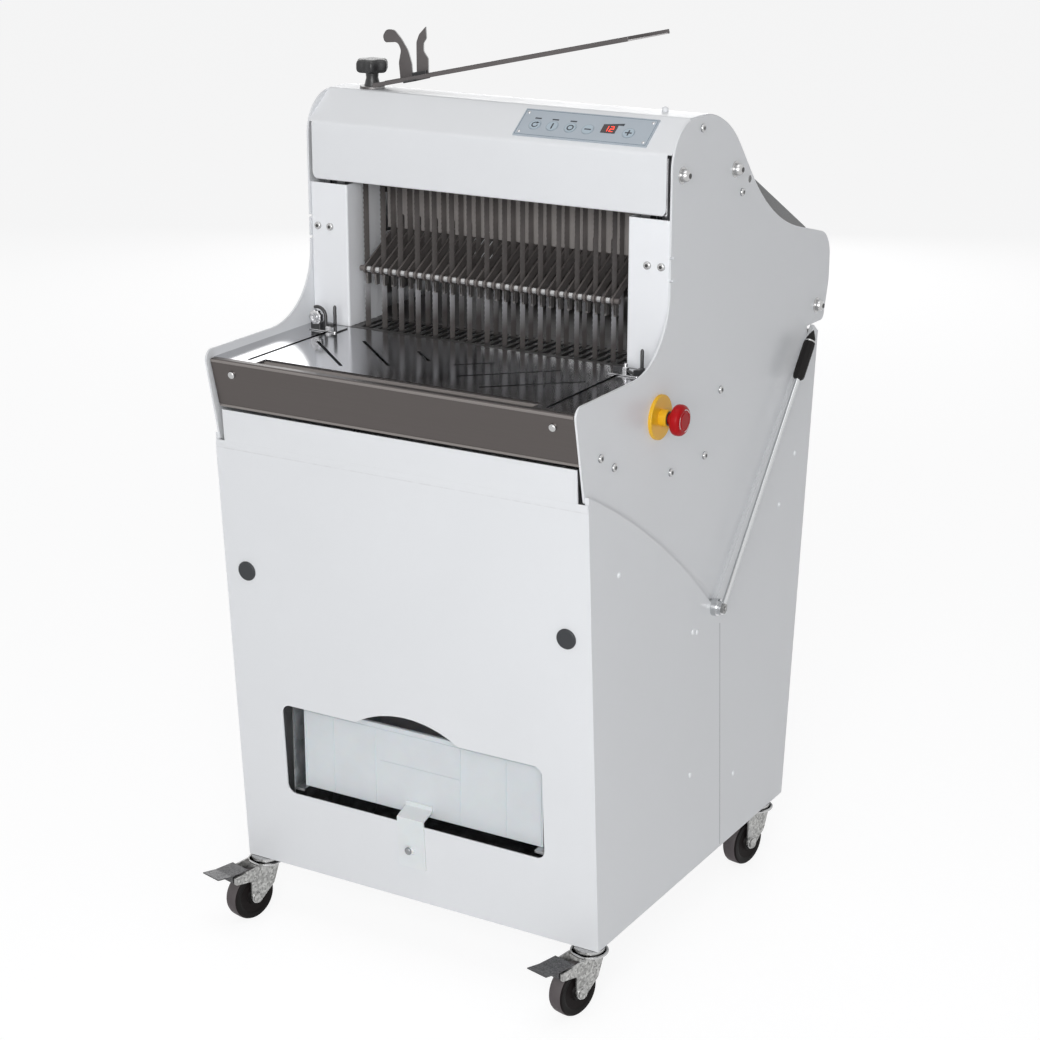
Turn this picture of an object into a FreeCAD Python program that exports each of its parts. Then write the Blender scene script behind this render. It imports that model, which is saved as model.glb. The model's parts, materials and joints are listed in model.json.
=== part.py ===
import FreeCAD, Part
import math
import os
from FreeCAD import Vector

# Floor-standing bread slicer. Millimetres, +X right, +Y to the back, +Z up.
# The origin is on the floor, in the middle between the side panels.

# ---- clearances
run_fit = 0.05          # radial, shafts and guide bars
seat_gap = 0.3          # between pieces that move past each other
bolt_gap = 0.3          # radial, bolts in their holes
eps = 1.0               # how far a cutting tool reaches past the face it cuts

# ---- widths, from the side panels in to the blades
base_half = 300.0
base_sheet = 2.0
side_gap = 4.0          # between a side panel of the base and the side plate above it
plate_sheet = 3.0
base_inner = base_half - base_sheet
plate_outer = base_inner - side_gap
plate_inner = plate_outer - plate_sheet
guide_x = plate_inner - 17.0
upright_width = 14.0
frame_half = guide_x - 20.0
frame_inner = frame_half - upright_width
comb_half = frame_inner - 14.0
pillar_inner = comb_half + 2.0
blade_pitch = 14.5
blade_margin = 8.0      # from the comb's edge to the first possible blade gap
blade_count = 2 * int((comb_half - blade_margin) / blade_pitch)
blade_span = blade_pitch * (blade_count - 1) / 2

# ---- heights, up and down from the table
table_z = 876.0
strip_top = table_z - 76.0
front_high_z = strip_top - 52.0
shoulder_z = front_high_z + 16.0    # front end of the seam on the side panel
rear_high_z = table_z - 41.0
top_z = table_z + 334.0

# ---- base cabinet
base_bottom = 92.0
front_low_y = -319.0
front_high_y = -359.0
rear_low_y = 287.0
rear_high_y = 358.0
strip_half = plate_inner - 7.0      # front panel between the side plates
seam_mid = (-156.0, table_z - 235.0)
rear_shoulder = (342.0, table_z - 30.0)
seam_rim = 12.0
floor_low = 95.0
floor_sheet = 3.0
floor_top = floor_low + floor_sheet

# ---- feed lever's axis, and the crankshaft's
lever_y = 19.0
lever_z = 494.6
crank_z = 440.0

# ---- hood's front face, and the two blade planes behind it
hood_front = -129.0
front_plane = hood_front + 24.0
rear_plane = front_plane + 48.0
crank_y = (front_plane + rear_plane) / 2

# ---- upper side plates
plate_foot = (front_high_y, front_high_z + 9.0)
plate_nose = (-386.0, table_z + 12.0)
nose_radius = 14.0
column_y = hood_front + 0.5
cheek_radius = 100.0
brow_radius = 60.0
crown_end_y = 30.2
crown_radius = 150.0
saddle = (186.0, table_z + 154.6)
saddle_radius = 327.0
tail = (405.0, table_z + 100.0)
tail_radius = 45.0
heel = (405.0, table_z + 29.0)
heel_radius = 60.0
heel_low = (389.0, table_z - 31.0)
heel_corner = 10.0
skirt_back = ((330.0, rear_shoulder[1]), (330.0, table_z - 96.0), (150.0, crank_z - 60.0))
skirt_front = ((-150.0, crank_z - 60.0), (-338.0, front_high_z - 6.0))
notch_depth = 7.0
notch_height = 3.5
notch_z = (table_z + 124.5, table_z + 155.5)

# ---- tables
table_sheet = 2.0
table_gap = 2.0         # between the outfeed table and the infeed table
comb_rail = 10.0
comb_slot = 9.0
comb_slot_front = front_plane - 13.0
comb_slot_back = rear_plane + 11.0
cross_strip = 17.0
infeed_front = comb_slot_front - comb_rail
infeed_back = 358.0
infeed_sheet = 3.0
outfeed_front = -366.0
outfeed_back = infeed_front - table_gap
crumb_slot_half = comb_half - 6.0
crumb_slot_back = -343.0
side_slot_x = pillar_inner + 10.0
side_slot_width = 6.0
side_slot_front = -355.0
side_slot_back = outfeed_back - 6.0
chevron_width = 5.0
chevrons = (((4.0, -224.0), (109.0, -318.0)),       # (in from the crumb slot's end, y)
            ((60.0, -190.0), (164.0, -284.0)),
            ((159.0, -200.0), (199.0, -236.0)))
guide_wall_x = comb_half + 6.0
guide_wall_low = table_z + 29.0
guide_wall_high = table_z + 124.0
guide_wall_back = 225.0

# ---- front lip
lip_half = plate_inner - 3.0
lip_top_y = -379.0
lip_low_y = -361.0
lip_low_z = strip_top + 4.0
lip_sheet = 1.5
lip_flange = 9.0
lip_bolt = (plate_inner - 36.0, table_z - 20.0)
dome_radius = 5.5
dome_height = 3.5
dome_round = 0.6        # share of a dome's height that its edge is rounded by
shank_radius = 3.0

# ---- hood, pillars and the cheek walls behind them
hood_low = table_z + 212.0
hood_face_top = table_z + 294.0
slant_top_y = -73.0
hood_top = top_z + 1.5
hood_sheet = 1.5
hood_return = 14.0
hood_gap = 6.0
hood_corner = 12.0
hood_bend = 8.0
hood_end = (106.0, table_z + 249.0)
pillar_front = hood_front + 2.0
pillar_top = hood_low - 5.0
pillar_sheet = 2.0
pillar_return = 41.0
pillar_flange = 20.0
pillar_screw_x = (plate_inner - 33.0, plate_inner - 12.0)
pillar_screw_z = table_z + 144.0
cheek_back = -29.0

# ---- blades and their two frames
blade_thick = 1.0
blade_deep = 14.0
frame_deep = 16.0
lower_bar = (table_z - 80.0, table_z - 58.0)
upper_bar = (table_z + 230.0, table_z + 252.0)
guide_radius = 7.0
guide_foot = (table_z - 31.0, table_z - 19.0)
guide_head = (table_z + 287.0, table_z + 299.0)
clamp_wall = 5.0
slider_out = 10.0
slider_deep = 24.0
slider_zones = ((table_z + 14.0, table_z + 44.0), (table_z + 164.0, table_z + 194.0))

# ---- crank drive
crank_radius = 10.0
crank_throw = 10.0
cam_radius = 14.0
cam_thick = 8.0
rod_thick = 6.0
rod_ring_inner = 39.0
rod_ring_wall = 7.0
rod_bar = 12.0
rod_eye = 8.5
rod_pin = 5.0
rod_pin_z = lower_bar[0] - 16.0
front_rod_x = frame_half - 4.0
rear_rod_x = frame_inner - 6.0
lug_thick = 6.0
lug_low = rod_pin_z - 12.0
crank_pitch_radius = 58.0
motor_pitch_radius = 29.0
belt_thick = 8.0
belt_width = 10.0
pulley_x = -11.0
pulley_width = 18.0
bearing_block = 22.0
bearing_width = 21.0
motor_y = 130.0
motor_z = 190.0
motor_radius = 65.0
motor_span = (20.0, 220.0)
motor_shaft = 9.0
motor_bore_deep = 40.0
motor_foot_half = 60.0
motor_foot_rise = 52.0  # how far below the motor's axis the foot's top is

# ---- feed lever and pusher
lever_lean = 39.5
axle_radius = 10.0
arm_x = frame_half + 8.0
arm_thick = 8.0
arm_length = 326.0
arm_width = 22.0
bush_radius = 17.0
bush_width = 13.0
boss_radius = 13.0
boss_thick = 8.0
lever_bar_x = base_half + 15.0
lever_bar_radius = 3.5
grip_start = 373.5
grip_length = 68.0
grip_radius = 9.0
grip_round = 4.0
infeed_half = arm_x - 12.0
rail_z = table_z - 18.0
rail_radius = 8.0
block_front = 262.0
block_long = 40.0
block_span = (block_front, block_front + block_long)
block_half = 12.0
rail_span = (-20.0, block_span[1] + 50.0)
rail_clamp = 10.0
pusher_bar = (block_front + 6.0, block_front + 22.0)
pusher_bar_z = (table_z + 8.0, table_z + 24.0)
pusher_face = (comb_half - 4.0, table_z + 4.0, table_z + 84.0)
pusher_sheet = 4.0
tine_length = 60.0
tine_width = 4.0
tine_height = 12.0

# ---- hold-down fingers and upper guard comb
hold_pivot = (35.0, table_z + 174.0)
hold_shaft = 6.0
hold_rod = (front_plane - 13.0, table_z + 87.3)
hold_rod_radius = 4.0
hold_rod_half = blade_span + 1.75
finger_thick = 3.0
finger_height = 12.0
finger_hub = 10.0
finger_eye = 6.5
finger_tip = 23.0       # how far the tips reach below the rod
tip_span = (2.0, 11.0)  # tips behind the rod's axis, front and back
hold_bush = 12.0
hold_bush_width = 11.0
guard_y = rear_plane + 15.0
guard_low = table_z + 134.0
guard_slot_top = table_z + 155.0
guard_yoke = table_z + 209.0
guard_high = table_z + 224.0
guard_slot = 5.5

# ---- loaf stops on the outfeed table
stop_y = -155.0
stop_inner = pillar_inner - 6.0
stop_outer = pillar_inner + 42.0
stop_long = 34.0
stop_high = 8.0
stop_stem = 5.0
stop_stem_long = 22.0
stop_foot = 12.0
stop_pin = 2.5
stop_pin_high = 28.0
stop_pin_x = (pillar_inner + 6.0, pillar_inner + 39.0)      # left stop, right stop
stop_knob = 13.5
stop_knob_thick = 8.0
stop_knob_x = (pillar_inner + 36.0, pillar_inner + 17.0)    # left stop, right stop
stop_knob_rise = 1.7    # knob's middle above the shoe

# ---- switch gear
estop_y = -156.0
estop_z = table_z - 54.0
collar_radius = 31.0
collar_high = 5.0
hub_radius = 13.0
hub_high = 16.0
barrel_radius = 11.0
barrel_deep = 44.0
stem_radius = 8.0
head_radius = 21.5
head_high = 16.0
head_proud = 24.0
head_round = 5.0
panel_right = plate_inner - 41.0
panel_left = panel_right - 205.0
panel_tall = 50.0
panel_thick = 2.0
key_places = (26.0, 53.0, 81.0, 108.0, 170.0)       # from the panel's left end
key_v = -4.0
key_radius = 8.0
key_thick = 1.6
key_lift = 1.0
display_span = (129.0, 149.0)                       # from the panel's left end
display_tall = 13.0
display_thick = 0.6

# ---- crumb drawer and its housing
window_half = base_half - 82.0
window_z = (216.0, 359.0)
window_corner = 14.0
finger_arc = (-3.0, window_z[1] + 25.0, 160.0)
housing_wall_x = window_half - 6.0
drawer_half = housing_wall_x - 10.0
drawer_z = (222.0, 350.0)
drawer_y = (-304.0, -108.0)
drawer_wall = 3.0
tab_span = (-25.0, 20.0)
tab_z = (147.0, 240.0)
tab_sheet = 2.0
tab_screw_z = 174.5
tab_rise = 8.0
housing_sheet = 2.0
housing_inset = 0.5     # from the front panel's inner face at the bottom
housing_top_front = table_z - 236.0
chute_top = (-20.0, table_z - 106.0)
chute_knee = (-250.0, table_z - 276.0)
chute_low = window_z[1] + 3.0
ledge_width = 16.0
ledge_thick = 4.0
plug_x = base_half - 38.0
plug_z = 560.0
plug_radius = 14.5
plug_rise = 3.0
plug_stem = 10.0

# ---- control box and cable gland
box_span = ((60.0 - base_half, 230.0 - base_half), (110.0, 230.0))
box_high = 160.0
gland_x = -150.0
gland_z = 180.0
gland_radius = 12.0
gland_bore = 5.0
gland_out = 20.0
gland_in = 12.0
gland_hex = 15.0
gland_flange = 6.0

# ---- rear cover
cover_hinge = (110.0, table_z + 227.0)
cover_pin = 5.0
cover_long = 240.0
cover_drop = 28.5
cover_half = plate_inner - 4.0
cover_sheet = 3.0
cover_flange = 34.0
cover_corner = 10.0
cover_rise = 7.0

# ---- side bolts, stand-off studs and the tie rod: (y, z) on the side plates
small_bolts = ((-44.0, top_z - 15.0), (85.0, top_z - 121.5), (33.0, table_z - 60.0),
               (-13.5, table_z - 145.0), (-117.5, table_z - 142.5), (-318.5, table_z - 70.0),
               (-281.5, table_z - 92.0))
stud_bolts = ((-100.5, top_z - 70.0), (361.5, table_z - 4.0))
tie_rod = (62.0, top_z - 86.0)
tie_radius = 8.0
nut_radius = 8.5
nut_high = 12.0
stud_radius = 4.0

# ---- bagging blade on the hood
bag_x = 68.0 - base_half
bag_y = -50.0
bag_slope = 12.4
bag_long = 480.0
bag_width = 34.0
bag_sheet = 1.6
bag_rim = 6.0
bag_bevel = 46.0
bag_pad = 18.0
bag_start = 12.6        # where the rims begin, from the stud
bag_stud = 5.0
finger_sheet = 2.5
hook_foot = 49.0
prong_foot = 76.5
hook_outline = ((-10, -2, 0), (11, 2, 0), (9, 24, 20), (3, 42, 20), (-8, 58, 20), (-20, 70, 9),
                (-33, 70, 9), (-39.5, 60, 8), (-36, 51, 5), (-14, 53, 8), (-8.5, 42, 10),
                (-12.5, 24, 14))
prong_outline = ((-9.8, -1, 0), (9.8, 1, 0), (9.6, 27, 4), (1.8, 37, 8), (2, 48, 8), (7, 55, 5),
                 (6, 71, 0), (-5, 60, 12), (-9.6, 49, 10))
knob_neck = 12.0
knob_neck_high = 18.0
knob_radius = 25.0
knob_high = 20.0
knob_lobes = 6
knob_scoop = 8.0
knob_scoop_out = 4.8    # the scoops' middles, outside the knob's rim

# ---- casters
caster_x = base_half - 21.0
caster_front_y = -306.5
caster_rear_y = 236.0
front_yaw = -104.0
rear_yaw = -100.0
wheel_radius = 37.5
wheel_width = 25.0
hub_width = 29.0
hub_radius = 12.0
wheel_web = 18.0
rim_radius = 28.0
tyre_round = 4.0
wheel_axle = 5.0
trail = 34.0
fork_top = 86.2
fork_disc = 24.0
fork_disc_thick = 4.2
leg_gap = 30.0
leg_sheet = 2.5
leg_back = 12.0         # legs behind the swivel axis
leg_front = 9.0         # legs past the wheel's axle
leg_waist = 50.0
leg_foot = 12.0         # legs below the wheel's axle
leg_brow = 66.0         # underside of the pedal's cheeks
leg_bend = 9.0
leg_corner = 4.0
axle_nut = 8.0
axle_nut_high = 4.0
stem = 6.0
race_radius = 22.0
race_z = (86.5, 91.5)
spacer_radius = 10.0
stem_low = 77.0
nut_top = 105.0
pedal_pin = (67.0, 78.0)
pedal_pin_radius = 2.5
pedal_cheek = 7.0       # legs past the pedal's pin
pedal_plate = ((50.0, 86.8), (82.0, 86.8), (106.0, 90.0))
pedal_sheet = 1.6
pedal_half = 18.0
pedal_tongue = (61.5, 73.5, 71.5)
pedal_tongue_half = 11.0


def box(x0, x1, y0, y1, z0, z1):
    return Part.makeBox(x1 - x0, y1 - y0, z1 - z0, Vector(x0, y0, z0))


def rod_x(radius, x0, x1, y, z):
    return Part.makeCylinder(radius, x1 - x0, Vector(x0, y, z), Vector(1, 0, 0))


def rod_y(radius, y0, y1, x, z):
    return Part.makeCylinder(radius, y1 - y0, Vector(x, y0, z), Vector(0, 1, 0))


def rod_z(radius, z0, z1, x, y):
    return Part.makeCylinder(radius, z1 - z0, Vector(x, y, z0), Vector(0, 0, 1))


def unit(a, b):
    length = math.hypot(b[0] - a[0], b[1] - a[1])
    return ((b[0] - a[0]) / length, (b[1] - a[1]) / length)


def rounded_edges(points, place, closed):
    """Lines through (u, v, radius) points, with an arc at each point that has a radius."""
    count = len(points)
    stops = []
    for i, (u, v, radius) in enumerate(points):
        inner = closed or 0 < i < count - 1
        if not inner or radius <= 0:
            stops.append(((u, v), None, (u, v)))
            continue
        back = unit((u, v), points[i - 1])
        ahead = unit((u, v), points[(i + 1) % count])
        half = math.acos(back[0] * ahead[0] + back[1] * ahead[1]) / 2
        reach = radius / math.tan(half)
        middle = unit((0, 0), (back[0] + ahead[0], back[1] + ahead[1]))
        deep = radius / math.sin(half) - radius
        stops.append(((u + back[0] * reach, v + back[1] * reach),
                      (u + middle[0] * deep, v + middle[1] * deep),
                      (u + ahead[0] * reach, v + ahead[1] * reach)))
    edges = []
    for i, (start, middle, end) in enumerate(stops):
        if middle:
            edges.append(Part.Arc(place(*start), place(*middle), place(*end)).toShape())
        if closed or i < count - 1:
            following = stops[(i + 1) % count][0]
            if math.hypot(following[0] - end[0], following[1] - end[1]) > 1e-6:
                edges.append(Part.LineSegment(place(*end), place(*following)).toShape())
    return edges


def with_radius(points):
    return [p if len(p) == 3 else (p[0], p[1], 0.0) for p in points]


def prism(points, place, start, length):
    edges = rounded_edges(with_radius(points), place, True)
    face = Part.Face(Part.Wire(Part.__sortEdges__(edges)))
    solid = face.extrude(length)
    solid.translate(start)
    return solid


def prism_x(points, x0, x1):
    return prism(points, lambda u, v: Vector(0, u, v), Vector(x0, 0, 0), Vector(x1 - x0, 0, 0))


def prism_y(points, y0, y1):
    return prism(points, lambda u, v: Vector(u, 0, v), Vector(0, y0, 0), Vector(0, y1 - y0, 0))


def prism_z(points, z0, z1):
    return prism(points, lambda u, v: Vector(u, v, 0), Vector(0, 0, z0), Vector(0, 0, z1 - z0))


def offset_path(path, thick):
    """The same path moved to its left by thick, with its bend radii to match."""
    moved = []
    count = len(path)
    for i, (u, v, radius) in enumerate(path):
        before = unit(path[i - 1], path[i]) if i > 0 else unit(path[0], path[1])
        after = unit(path[i], path[i + 1]) if i < count - 1 else before
        left_before = (-before[1], before[0])
        left_after = (-after[1], after[0])
        share = 1 + left_before[0] * left_after[0] + left_before[1] * left_after[1]
        shift_u = (left_before[0] + left_after[0]) / share * thick
        shift_v = (left_before[1] + left_after[1]) / share * thick
        turn = before[0] * after[1] - before[1] * after[0]
        bent = radius - math.copysign(thick, turn) if radius > 0 else 0.0
        moved.append((u + shift_u, v + shift_v, max(bent, 0.0)))
    return moved


def bent_sheet(path, thick, place, start, length):
    """Sheet metal bent along an open path, on the left side of the path."""
    outer = with_radius(path)
    inner = offset_path(outer, thick)
    edges = rounded_edges(outer, place, False) + rounded_edges(inner, place, False)
    for i in (0, -1):
        edges.append(Part.LineSegment(place(*outer[i][:2]), place(*inner[i][:2])).toShape())
    face = Part.Face(Part.Wire(Part.__sortEdges__(edges)))
    solid = face.extrude(length)
    solid.translate(start)
    return solid


def bent_sheet_x(path, thick, x0, x1):
    return bent_sheet(path, thick, lambda u, v: Vector(0, u, v), Vector(x0, 0, 0),
                      Vector(x1 - x0, 0, 0))


def bent_sheet_z(path, thick, z0, z1):
    return bent_sheet(path, thick, lambda u, v: Vector(u, v, 0), Vector(0, 0, z0),
                      Vector(0, 0, z1 - z0))


def joined(shapes):
    whole = shapes[0]
    if len(shapes) > 1:
        whole = whole.fuse(shapes[1:])
    return whole.removeSplitter()


def mirrored(shape):
    return shape.mirror(Vector(0, 0, 0), Vector(1, 0, 0))


def pair(shape):
    return [shape, mirrored(shape)]


def save(node, solids):
    Part.makeCompound(solids).exportStep("parts/" + node + ".step")


def line_y(low, high, z):
    """Y of the straight line through two (y, z) points, at height z."""
    return low[0] + (high[0] - low[0]) * (z - low[1]) / (high[1] - low[1])


def front_y(z):
    return line_y((front_low_y, base_bottom), (front_high_y, front_high_z), z)


def rear_y(z):
    return line_y((rear_low_y, base_bottom), (rear_high_y, rear_high_z), z)


def leaned(shape, y, z):
    """Turn a shape drawn along Y at (y, z) square to the front panel."""
    turned = shape.copy()
    lean = math.degrees(math.atan2(front_low_y - front_high_y, front_high_z - base_bottom))
    turned.rotate(Vector(0, y, z), Vector(1, 0, 0), lean)
    return turned


def gap_centres():
    """X of the middle of each gap between neighbouring blades."""
    first = -blade_pitch * (blade_count - 2) / 2
    return [first + blade_pitch * i for i in range(blade_count - 1)]


def blade_centres():
    first = -blade_pitch * (blade_count - 1) / 2
    return [first + blade_pitch * i for i in range(blade_count)]


def slant_axes():
    """Middle, up-slope direction and outward normal of the hood's slanted face."""
    low = Vector(0, hood_front, hood_face_top)
    high = Vector(0, slant_top_y, hood_top)
    up = (high - low).normalize()
    return (low + high) * 0.5, up, Vector(0, -up.z, up.y)


def on_slant(shape):
    """Put a shape drawn flat (x, v, height) on the slanted face of the hood."""
    middle, up, normal = slant_axes()
    turned = shape.copy()
    turned.rotate(Vector(0, 0, 0), Vector(1, 0, 0), math.degrees(math.atan2(up.z, up.y)))
    turned.translate(middle)
    return turned


# ---- base cabinet -------------------------------------------------------

def seam_edges(drop):
    """Top edges of the side panel, lowered by drop, from the front to the back."""
    points = [Vector(0, y, z - drop) for y, z in
              ((front_y(shoulder_z) + base_sheet, shoulder_z), seam_mid, (lever_y, lever_z),
               rear_shoulder)]
    edges = [Part.Arc(*points[:3]).toShape(), Part.LineSegment(points[2], points[3]).toShape()]
    return edges, points[0], points[3]


def closed_face(edges, points):
    """Face between a chain of edges and the straight lines through the given points."""
    lines = [Part.LineSegment(a, b).toShape() for a, b in zip(points, points[1:])]
    return Part.Face(Part.Wire(Part.__sortEdges__(edges + lines)))


def base_side():
    top, start, back = seam_edges(0)
    corners = [Vector(0, rear_y(rear_high_z) - base_sheet, rear_high_z),
               Vector(0, rear_low_y - base_sheet, base_bottom),
               Vector(0, front_low_y + base_sheet, base_bottom)]
    sheet = closed_face(top, [back] + corners + [start]).extrude(Vector(base_sheet, 0, 0))
    sheet.translate(Vector(base_inner, 0, 0))
    under, low_start, low_back = seam_edges(seam_rim)
    band = [Part.LineSegment(back, low_back).toShape()]
    rim = closed_face(top + under + band, [low_start, start])
    rim = rim.extrude(Vector(base_inner - plate_outer, 0, 0))
    rim.translate(Vector(plate_outer, 0, 0))
    hole = rod_x(axle_radius + eps, plate_inner, base_half + eps, lever_y, lever_z)
    return joined([sheet, rim]).cut(hole)


def front_panel():
    full = [(front_y(base_bottom), base_bottom), (front_y(strip_top), strip_top),
            (front_y(strip_top) + base_sheet, strip_top),
            (front_y(base_bottom) + base_sheet, base_bottom)]
    panel = prism_x(full, -base_half, base_half)
    cuts = []
    for side in (-1, 1):
        edge = sorted((side * strip_half, side * (base_half + eps)))
        cuts.append(box(edge[0], edge[1], front_high_y - base_half, 0, front_high_z,
                        strip_top + eps))
        cuts.append(rod_y(plug_stem + seat_gap, front_high_y - eps, 0, side * plug_x, plug_z))
    low, high = window_z
    corner = [(-window_half, low, window_corner), (window_half, low, window_corner),
              (window_half, high, window_corner), (-window_half, high, window_corner)]
    cuts.append(prism_y(corner, front_high_y - eps, 0))
    arc_x, arc_top, arc_radius = finger_arc
    cuts.append(rod_y(arc_radius, front_high_y - eps, 0, arc_x, arc_top - arc_radius).common(
        box(-window_half, window_half, front_high_y - eps, 0, high - window_corner, arc_top)))
    return panel.cut(cuts)


def rear_panel():
    outline = [(rear_y(base_bottom), base_bottom), (rear_y(rear_high_z), rear_high_z),
               (rear_y(rear_high_z) - base_sheet, rear_high_z),
               (rear_y(base_bottom) - base_sheet, base_bottom)]
    hole = on_rear_panel(rod_z(gland_radius + bolt_gap, -gland_in, gland_in, 0, 0))
    return prism_x(outline, -base_half, base_half).cut(hole)


def on_rear_panel(shape):
    """Put a shape drawn along +Z, its flange at z = 0, on the outside of the rear panel."""
    lean = math.degrees(math.atan2(rear_high_y - rear_low_y, rear_high_z - base_bottom))
    turned = shape.copy()
    turned.rotate(Vector(0, 0, 0), Vector(1, 0, 0), -90 - lean)
    turned.translate(Vector(gland_x, rear_y(gland_z), gland_z))
    return turned


def floor_pan():
    front = front_y(floor_low) + base_sheet + seat_gap
    back = rear_y(floor_low) - base_sheet - seat_gap
    pan = box(-base_inner, base_inner, front, back, floor_low, floor_top)
    holes = [rod_z(stem + bolt_gap, floor_low - eps, floor_top + eps, x, y)
             for x, y in caster_places()]
    return pan.cut(holes)


# ---- side plates --------------------------------------------------------

def side_plate(with_switch):
    outline = [plate_foot + (2.0,), plate_nose + (nose_radius,),
               (column_y, plate_nose[1], cheek_radius), (column_y, top_z, brow_radius),
               (crown_end_y, top_z, crown_radius), saddle + (saddle_radius,),
               tail + (tail_radius,), heel + (heel_radius,), heel_low + (heel_corner,)]
    outline += list(skirt_back) + list(skirt_front)
    plate = prism_x(outline, plate_inner, plate_outer)
    inside = plate_inner - eps
    outside = plate_outer + eps
    holes = [rod_x(shank_radius + bolt_gap, inside, outside, y, z) for y, z in small_bolts]
    holes += [rod_x(stud_radius + bolt_gap, inside, outside, y, z)
              for y, z in stud_bolts + (tie_rod,)]
    holes.append(rod_x(axle_radius + eps, inside, outside, lever_y, lever_z))
    holes.append(rod_x(cover_pin + run_fit, inside, outside, *cover_hinge))
    if with_switch:
        holes.append(rod_x(barrel_radius + bolt_gap, inside, outside, estop_y, estop_z))
    for z in notch_z:
        holes.append(box(inside, outside, column_y - eps, column_y + notch_depth,
                         z, z + notch_height))
    return plate.cut(holes)


def bolt_x(y, z, x_face, head, head_high, shank, deep):
    """Dome-headed bolt along X with its head outside the +X side plate."""
    dome = Part.makeCylinder(head, head_high, Vector(x_face, y, z), Vector(1, 0, 0))
    dome = dome.makeFillet(head_high * dome_round, [dome.Edges[0]])
    return joined([dome, rod_x(shank, x_face - deep, x_face, y, z)])


def front_bolt(x, y, z):
    """Dome-headed screw along Y, its head on a face at y that looks to the front."""
    dome = Part.makeCylinder(dome_radius, dome_height, Vector(x, y, z), Vector(0, -1, 0))
    return dome.makeFillet(dome_height * dome_round, [dome.Edges[0]])


def fasteners():
    solids = []
    deep = plate_sheet + eps
    for y, z in small_bolts:
        solids += pair(bolt_x(y, z, plate_outer, dome_radius, dome_height, shank_radius, deep))
    for y, z in stud_bolts:
        solids += pair(bolt_x(y, z, plate_outer, nut_radius, nut_high, stud_radius,
                              plate_sheet))
    bar = rod_x(tie_radius, -plate_inner, plate_inner, *tie_rod)
    stud = rod_x(stud_radius, -plate_outer, plate_outer, *tie_rod)
    nut = bolt_x(tie_rod[0], tie_rod[1], plate_outer, nut_radius, nut_high, stud_radius, eps)
    solids.append(joined([bar, stud] + pair(nut)))
    bolt_x_place, bolt_z = lip_bolt
    lip_y = line_y((lip_low_y, lip_low_z), (lip_top_y, table_z), bolt_z)
    for side in (-1, 1):
        head = front_bolt(side * bolt_x_place, lip_y, bolt_z)
        lean = math.degrees(math.atan2(lip_low_y - lip_top_y, table_z - lip_low_z))
        head.rotate(Vector(0, lip_y, bolt_z), Vector(1, 0, 0), lean)
        solids.append(head)
        for x in pillar_screw_x:
            solids.append(front_bolt(side * x, pillar_front, pillar_screw_z))
    for x, y in caster_places():
        solids.append(joined([rod_z(stem, stem_low, nut_top, x, y),
                              rod_z(race_radius, race_z[0], race_z[1], x, y),
                              rod_z(spacer_radius, race_z[1], floor_low, x, y),
                              rod_z(spacer_radius, floor_top, nut_top, x, y)]))
    return solids


# ---- tables -------------------------------------------------------------

def slot_between(start, end, width, z0, z1):
    """Round-ended slot between two (x, y) points."""
    reach = math.hypot(end[0] - start[0], end[1] - start[1])
    half = width / 2
    bar = joined([box(0, reach, -half, half, z0, z1), rod_z(half, z0, z1, 0, 0),
                  rod_z(half, z0, z1, reach, 0)])
    bar.rotate(Vector(0, 0, 0), Vector(0, 0, 1),
               math.degrees(math.atan2(end[1] - start[1], end[0] - start[0])))
    bar.translate(Vector(start[0], start[1], 0))
    return bar


def outfeed_table():
    low = table_z - table_sheet
    sheet = box(-plate_inner, plate_inner, outfeed_front, outfeed_back, low, table_z)
    cuts = [box(-crumb_slot_half, crumb_slot_half, outfeed_front - eps, crumb_slot_back,
                low - eps, table_z + eps)]
    for start, end in chevrons:
        slot = slot_between((crumb_slot_half - start[0], start[1]),
                            (crumb_slot_half - end[0], end[1]),
                            chevron_width, low - eps, table_z + eps)
        cuts += pair(slot)
    cuts += pair(slot_between((side_slot_x, side_slot_front), (side_slot_x, side_slot_back),
                              side_slot_width, low - eps, table_z + eps))
    return sheet.cut(cuts)


def front_lip():
    path = [(lip_low_y + lip_flange, lip_low_z), (lip_low_y, lip_low_z, 3.0),
            (lip_top_y, table_z, 4.0), (outfeed_front, table_z)]
    return bent_sheet_x(path[::-1], lip_sheet, -lip_half, lip_half)


def infeed_table():
    low = table_z - infeed_sheet
    plates = [box(-infeed_half, infeed_half, comb_slot_back, infeed_back, low, table_z),
              box(-comb_half, comb_half, infeed_front, comb_slot_back, low, table_z),
              box(-plate_inner, plate_inner, infeed_front, infeed_front + comb_rail,
                  low, table_z)]
    for back in (comb_slot_back + cross_strip, infeed_back):
        plates.append(box(-plate_inner, plate_inner, back - cross_strip, back, low, table_z))
    slots = [box(x - comb_slot / 2, x + comb_slot / 2, comb_slot_front, comb_slot_back,
                 low - eps, table_z + eps) for x in blade_centres()]
    return joined(plates).cut(slots)


def infeed_guides():
    path = [(guide_wall_x, guide_wall_low), (guide_wall_x, guide_wall_high, 3.0),
            (plate_inner, guide_wall_high)]
    front = comb_slot_back
    wall = bent_sheet(path[::-1], pillar_sheet, lambda u, v: Vector(u, 0, v),
                      Vector(0, front, 0), Vector(0, guide_wall_back - front, 0))
    return pair(wall)


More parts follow.
